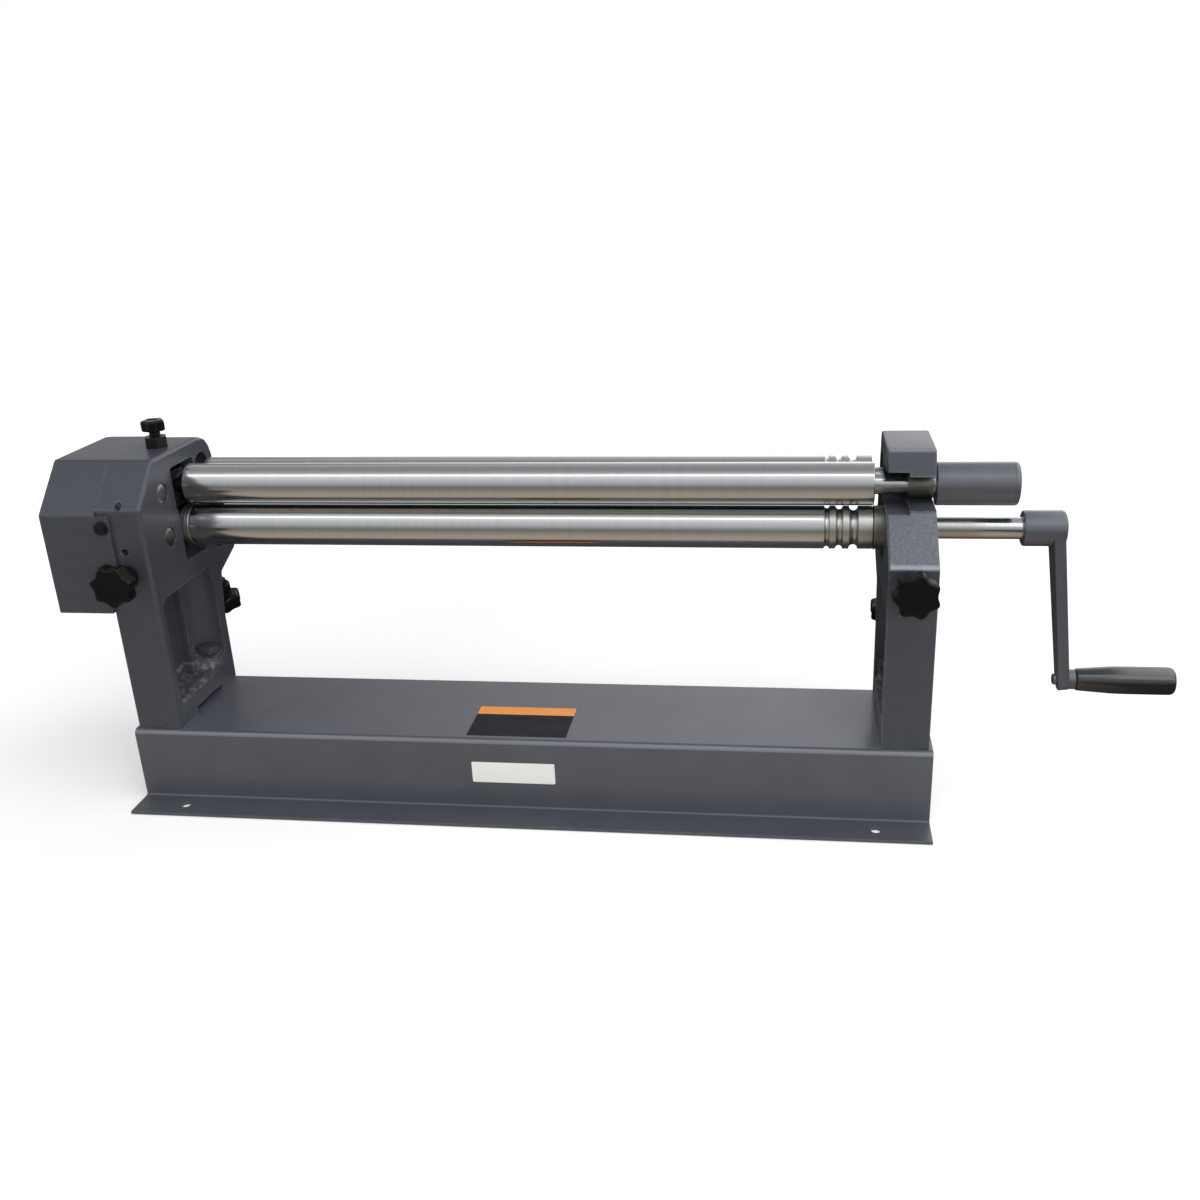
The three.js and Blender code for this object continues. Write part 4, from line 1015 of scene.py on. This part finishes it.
starShape = {
    "lobes": 7, "radius": 19.0, "dip": 3.1, "thick": 14.0, "edge": 2.4, "steps": 10,
    "hub": 11.0, "hubEdge": 0.6, "neck": 8.2, "neckEdge": 0.4, "neckLength": 4.5, "overlap": 3,
    "dish": 1.0, "dishRadius": 8.0,
    "turns": {"left": 12, "right": 28.6},
    "frontLength": 18.5, "frontPlace": (-83.1, 218.5), "rearLength": 16.0, "rearAlong": -110.6,
}
clampKnobShape = {
    "lobes": 5, "radius": 10.5, "dip": 1.75, "thick": 10.0, "edge": 2.0, "steps": 10,
    "dish": 0.6, "dishRadius": 4.5, "height": 326,
}
lobePower, lobeEdgeSteps = 0.8, 5


def angleOf(vert):
    return atan2(vert.co.y, vert.co.x)


# A lobed head along +Z from its underside at zero
def lobedHead(shape):
    bm = bmesh.new()
    count = shape["lobes"] * shape["steps"]
    made = bmesh.ops.create_circle(bm, cap_ends=False, radius=shape["radius"] * mm, segments=count)
    rim = made["verts"]
    for vert in rim:
        dip = shape["dip"] * (0.5 - 0.5 * cos(shape["lobes"] * angleOf(vert))) ** lobePower
        vert.co *= (shape["radius"] - dip) / shape["radius"]
    lower = bm.faces.new(sorted(rim, key=angleOf))
    moveNew(bm, bmesh.ops.extrude_face_region(bm, geom=[lower]), (0, 0, shape["thick"] * mm))
    faceOutward(bm)
    roundEdges(bm, [e for e in bm.edges if span(e, 2) < 1e-6], shape["edge"], lobeEdgeSteps)
    top = max(bm.faces, key=lambda f: f.calc_center_median().z)
    for radius, drop in ((shape["dishRadius"], 0), (shape["dishRadius"] - shape["dish"], shape["dish"])):
        made = bmesh.ops.extrude_face_region(bm, geom=[top])
        bmesh.ops.delete(bm, geom=[top], context="FACES_ONLY")
        top = next(f for f in made["geom"] if isinstance(f, bmesh.types.BMFace))
        for vert in top.verts:
            turn = angleOf(vert)
            vert.co = (radius * mm * cos(turn), radius * mm * sin(turn), vert.co.z - drop * mm)
    return bm


def starKnob(length, shape=starShape):
    neckEnd, far = shape["neckLength"], length + shape["overlap"]
    bm = placed(lobedHead(shape), Matrix.Translation((0, 0, length * mm)))
    hub = spun(
        [(0, 0), *corner(0, shape["neck"], 1, shape["neckEdge"]), (neckEnd, shape["neck"]),
         *corner(neckEnd, shape["hub"], 1, shape["hubEdge"]), (far, shape["hub"]), (far, 0)],
        upright=True, steps=64,
    )
    return joined(bm, hub)


# The rear slot's slanted line, from the rear roll's axis at rest
def slanted(x, along):
    axis = moved(x, machine["rearBack"], machine["rearAxis"]) @ turned(machine["rearSlant"], "X")
    return axis @ Matrix.Translation((0, 0, along * mm))


def makeKnobs(shape=starShape):
    for side, x, inward in sides:
        place = moved(x, *shape["frontPlace"]) @ turned(90, "X") @ turned(shape["turns"][side], "Z")
        front = placed(starKnob(shape["frontLength"]), place)
        addPiece("frontStar" + side.title(), front, "knob", "front_knob_" + side, sharp=50)
        place = slanted(x + inward * machine["screwSetIn"], shape["rearAlong"])
        rear = placed(starKnob(shape["rearLength"]), place @ turned(180, "X"))
        addPiece("rearStar" + side.title(), rear, "knob", "rear_knob_" + side, sharp=50)
    place = moved(machine["leftMiddle"], 0, clampKnobShape["height"])
    addPiece("clampStar", placed(lobedHead(clampKnobShape), place), "knob", "clamp_knob", sharp=50)


makeKnobs()

# Screws with real threads; depth and crest are shares of the pitch, along is on the slanted line

threadShape = {"steps": 20, "depth": 0.62, "crest": (0.42, 0.58), "coreGap": 0.05, "coreSteps": 32}
liftScrewShape = {
    "thread": (6.0, 1.75, 115), "along": -133.3, "tipAlong": -18.3,
    "tip": [(-1, 0), (-1, 4), (6.2, 4), (6.7, 3.5), (6.7, 0)], "tipSteps": 48,
}
clampScrewShape = {"thread": (5.0, 1.25, 34.5), "height": 296.6}


# A thread along +Z from zero, with a plain core through it
def threaded(radius, pitch, length, shape=threadShape):
    root = radius - shape["depth"] * pitch
    rise, fall = shape["crest"]
    turns = int(length / pitch) - 1
    bm = bmesh.new()
    profile = ((0, root), (pitch * rise, radius), (pitch * fall, radius), (pitch, root))
    verts, lines = wire(bm, [(size * mm, 0, along * mm) for along, size in profile])
    steps = shape["steps"]
    bmesh.ops.spin(bm, geom=verts + lines, cent=(0, 0, 0), axis=(0, 0, 1),
                   dvec=(0, 0, pitch * mm / steps), angle=tau * turns, steps=steps * turns)
    weld(bm)
    bmesh.ops.holes_fill(bm, edges=[e for e in bm.edges if len(e.link_faces) == 1], sides=0)
    faceOutward(bm)
    core = root - shape["coreGap"]
    return joined(bm, spun([(0, 0), (0, core), (length, core), (length, 0)], upright=True,
                           steps=shape["coreSteps"]))


def makeScrews(lift=liftScrewShape, clamp=clampScrewShape):
    for side, middle, inward in sides:
        x = middle + inward * machine["screwSetIn"]
        screw = placed(threaded(*lift["thread"]), slanted(x, lift["along"]))
        tip = placed(spun(lift["tip"], upright=True, steps=lift["tipSteps"]), slanted(x, lift["tipAlong"]))
        addPiece("liftScrew" + side.title(), joined(screw, tip), "thread", "lift_screw_" + side, sharp=25,
                 weighted=False)
    screw = placed(threaded(*clamp["thread"]), moved(machine["leftMiddle"], 0, clamp["height"]))
    addPiece("clampThread", screw, "oxide", "clamp_screw", sharp=25, weighted=False)


makeScrews()

# Bolts, nuts and pins

boltShape = {
    "flats": 17.0, "head": 7.0, "nut": 8.0, "edge": 0.35, "radius": 5.0, "pitch": 1.5,
    "places": {"left": -323.2, "right": 325.4, "front": -61.0, "rear": 10.5},
    "seats": {"front": 92.0, "rear": 104.0}, "headGap": 0.3, "intoHead": 1.2, "foot": 55.7, "nutFoot": 58.7,
}
pinShape = {
    "back": -40, "radius": 7, "tailEdge": 0.4, "shoulder": -357.9, "inner": -311.2, "steps": 64,
    "dome": [(1.6, 8.8), (1.1, 8.5), (0.6, 7.4), (0.25, 5.5), (0.06, 3), (0, 0)],
    "lower": (-386.8, 239.2), "upper": (-372.8, 279.2),
}


def hexHead(height, shape=boltShape):
    bm = bmesh.new()
    radius = shape["flats"] / sqrt(3) * mm
    bmesh.ops.create_cone(bm, cap_ends=True, segments=6, radius1=radius, radius2=radius, depth=height * mm,
                          matrix=turned(30, "Z"))
    bmesh.ops.translate(bm, vec=(0, 0, height * mm / 2), verts=bm.verts)
    roundEdges(bm, hardEdges(bm, 20), shape["edge"], 2)
    return bm


def makeFootBolts(shape=boltShape):
    for side in ("left", "right"):
        for end in ("front", "rear"):
            x, y = shape["places"][side], shape["places"][end]
            seat = shape["seats"][end] + shape["headGap"]
            length = seat - shape["foot"] + shape["intoHead"]
            bolt = placed(hexHead(shape["head"]), moved(x, y, seat))
            shank = placed(threaded(shape["radius"], shape["pitch"], length), moved(x, y, shape["foot"]))
            addPiece(f"footBolt{side.title()}{end.title()}", joined(bolt, shank), "boltHead",
                     f"foot_bolt_{side}_{end}", sharp=25, weighted=False)
            nut = placed(hexHead(shape["nut"]), moved(x, y, shape["nutFoot"]))
            addPiece(f"footNut{side.title()}{end.title()}", nut, "oxide", f"foot_nut_{side}_{end}", sharp=25)


def makeSmallFasteners(shape=pinShape):
    for node in ("cover_bolt_upper", "cover_bolt_lower", "cover_bolt_rear", "clamp_lock_nut"):
        softened(node.replace("_", "") + "Soft", node, "oxide", boltShape["edge"])
    shoulder, dome = shape["shoulder"], [(shape["inner"] - back, size) for back, size in shape["dome"]]
    for name in ("lower", "upper"):
        tail, height = shape[name]
        profile = [(tail, 0), *corner(tail, shape["radius"], 1, shape["tailEdge"]),
                   (shoulder, shape["radius"]), (shoulder, dome[0][1]), *dome]
        bm = spun(profile, at(0, shape["back"], height), steps=shape["steps"])
        addPiece(name + "IdlerPin", bm, "pin", name + "_idler_pin", sharp=30)


makeFootBolts()
makeSmallFasteners()

# Crank

print("crank")

crankShape = {
    "hub": (428.4, 463.9, 15.2), "hubCorners": ((2, (0.6, 0.6)), (3, (1, 0.9))),
    "face": 462.0, "throw": 139.0, "tip": 9.2, "thick": 10.0, "lean": 7.0,
    "armEdge": 1.6, "armEdgeSteps": 4, "arcSteps": (24, 20),
    "boss": 8.75, "bossEnd": 484.67, "bossEdge": 0.6,
    "spindle": 4.0, "head": 5.0, "headCorner": [(0, 1.2), (0.5, 0.3), (1, 0), (2.5, 0)],
    "grip": [(0, 4.3), (0, 8.6), (0.5, 9.3), (1.6, 9.85), (8, 10.25), (18, 11.0), (28, 11.75), (36, 12.05),
             (44, 12.1), (76.5, 12.1), (79.5, 11.85), (81.4, 11.1), (82.3, 9.9), (82.6, 8.4), (82.6, 0),
             (76.6, 0), (76.6, 4.3)],
}


# The arm's outline round its hub and its tip, made thick and leaned outwards
def crankArm(shape):
    radius, tip, thick = shape["hub"][2], shape["tip"], shape["thick"] * mm
    reach = shape["throw"] / cos(radians(shape["lean"]))
    tilt = asin((radius - tip) / reach)
    arm = bmesh.new()
    outline = []
    hubSteps, tipSteps = shape["arcSteps"]
    for step in range(hubSteps + 1):
        turn = -tilt + (pi + 2 * tilt) * step / hubSteps
        outline.append((radius * cos(turn), radius * sin(turn)))
    for step in range(tipSteps + 1):
        turn = pi + tilt + (pi - 2 * tilt) * step / tipSteps
        outline.append((tip * cos(turn), tip * sin(turn) - reach))
    inner = arm.faces.new([arm.verts.new((-thick, y * mm, z * mm)) for y, z in outline])
    moveNew(arm, bmesh.ops.extrude_face_region(arm, geom=[inner]), (thick, 0, 0))
    faceOutward(arm)
    roundEdges(arm, [e for e in arm.edges if span(e, 0) < 1e-6], shape["armEdge"], shape["armEdgeSteps"])
    return placed(arm, moved(shape["face"], 0, machine["lowerAxis"]) @ turned(-shape["lean"], "Y"))


def makeCrank(shape=crankShape):
    (start, end, radius), (first, last) = shape["hub"], shape["hubCorners"]
    hub = spun([(start, 0), *corner(start, radius, 1, *first), *corner(end, radius, -1, *last), (end, 0)],
               lowerAxle)
    tip = at(0, 0, machine["lowerAxis"] - shape["throw"])
    outward = shape["throw"] * tan(radians(shape["lean"]))
    start, end = shape["face"] + outward - shape["thick"] / 2, shape["bossEnd"]
    boss = spun([(start, 0), (start, shape["boss"]), *corner(end, shape["boss"], -1, shape["bossEdge"]),
                 (end, 0)], tip, steps=64)
    addPiece("crankCasting", joined(joined(hub, crankArm(shape)), boss), "crank", "crank_arm", sharp=34)
    start, end = [(point.x - home.x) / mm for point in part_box("grip_spindle")]
    head = [(start + back, shape["head"] - drop) for back, drop in shape["headCorner"]]
    pin = spun([(start, 0), *head, (head[-1][0], shape["spindle"]), (end, shape["spindle"]), (end, 0)], tip,
               steps=48)
    addPiece("gripPin", pin, "pin", "grip_spindle")
    start = (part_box("crank_grip")[0].x - home.x) / mm
    grip = spun([(start + along, size) for along, size in shape["grip"]], tip, closed=True)
    addPiece("turningGrip", grip, "grip", "crank_grip", sharp=50)


makeCrank()

# CAD nodes that keep their own shape

geared = ["upper_roll", "lower_roll", "upper_idler", "lower_idler"]
keptNodes = {
    "gear": [name + "_gear" for name in geared],
    "zinc": [name + "_ring" for name in geared] + ["crank_key", "wedge_screw_left", "wedge_screw_right"],
    "thread": ["upper_set_screw", "lower_set_screw"],
    "bronze": ["clamp_pad"],
}

for finish, names in keptNodes.items():
    for name in names:
        materials = frame["nodes"][name].data.materials
        materials.clear()
        materials.append(finishes[finish])

scene.view_settings.view_transform = "Standard"


print("finished")
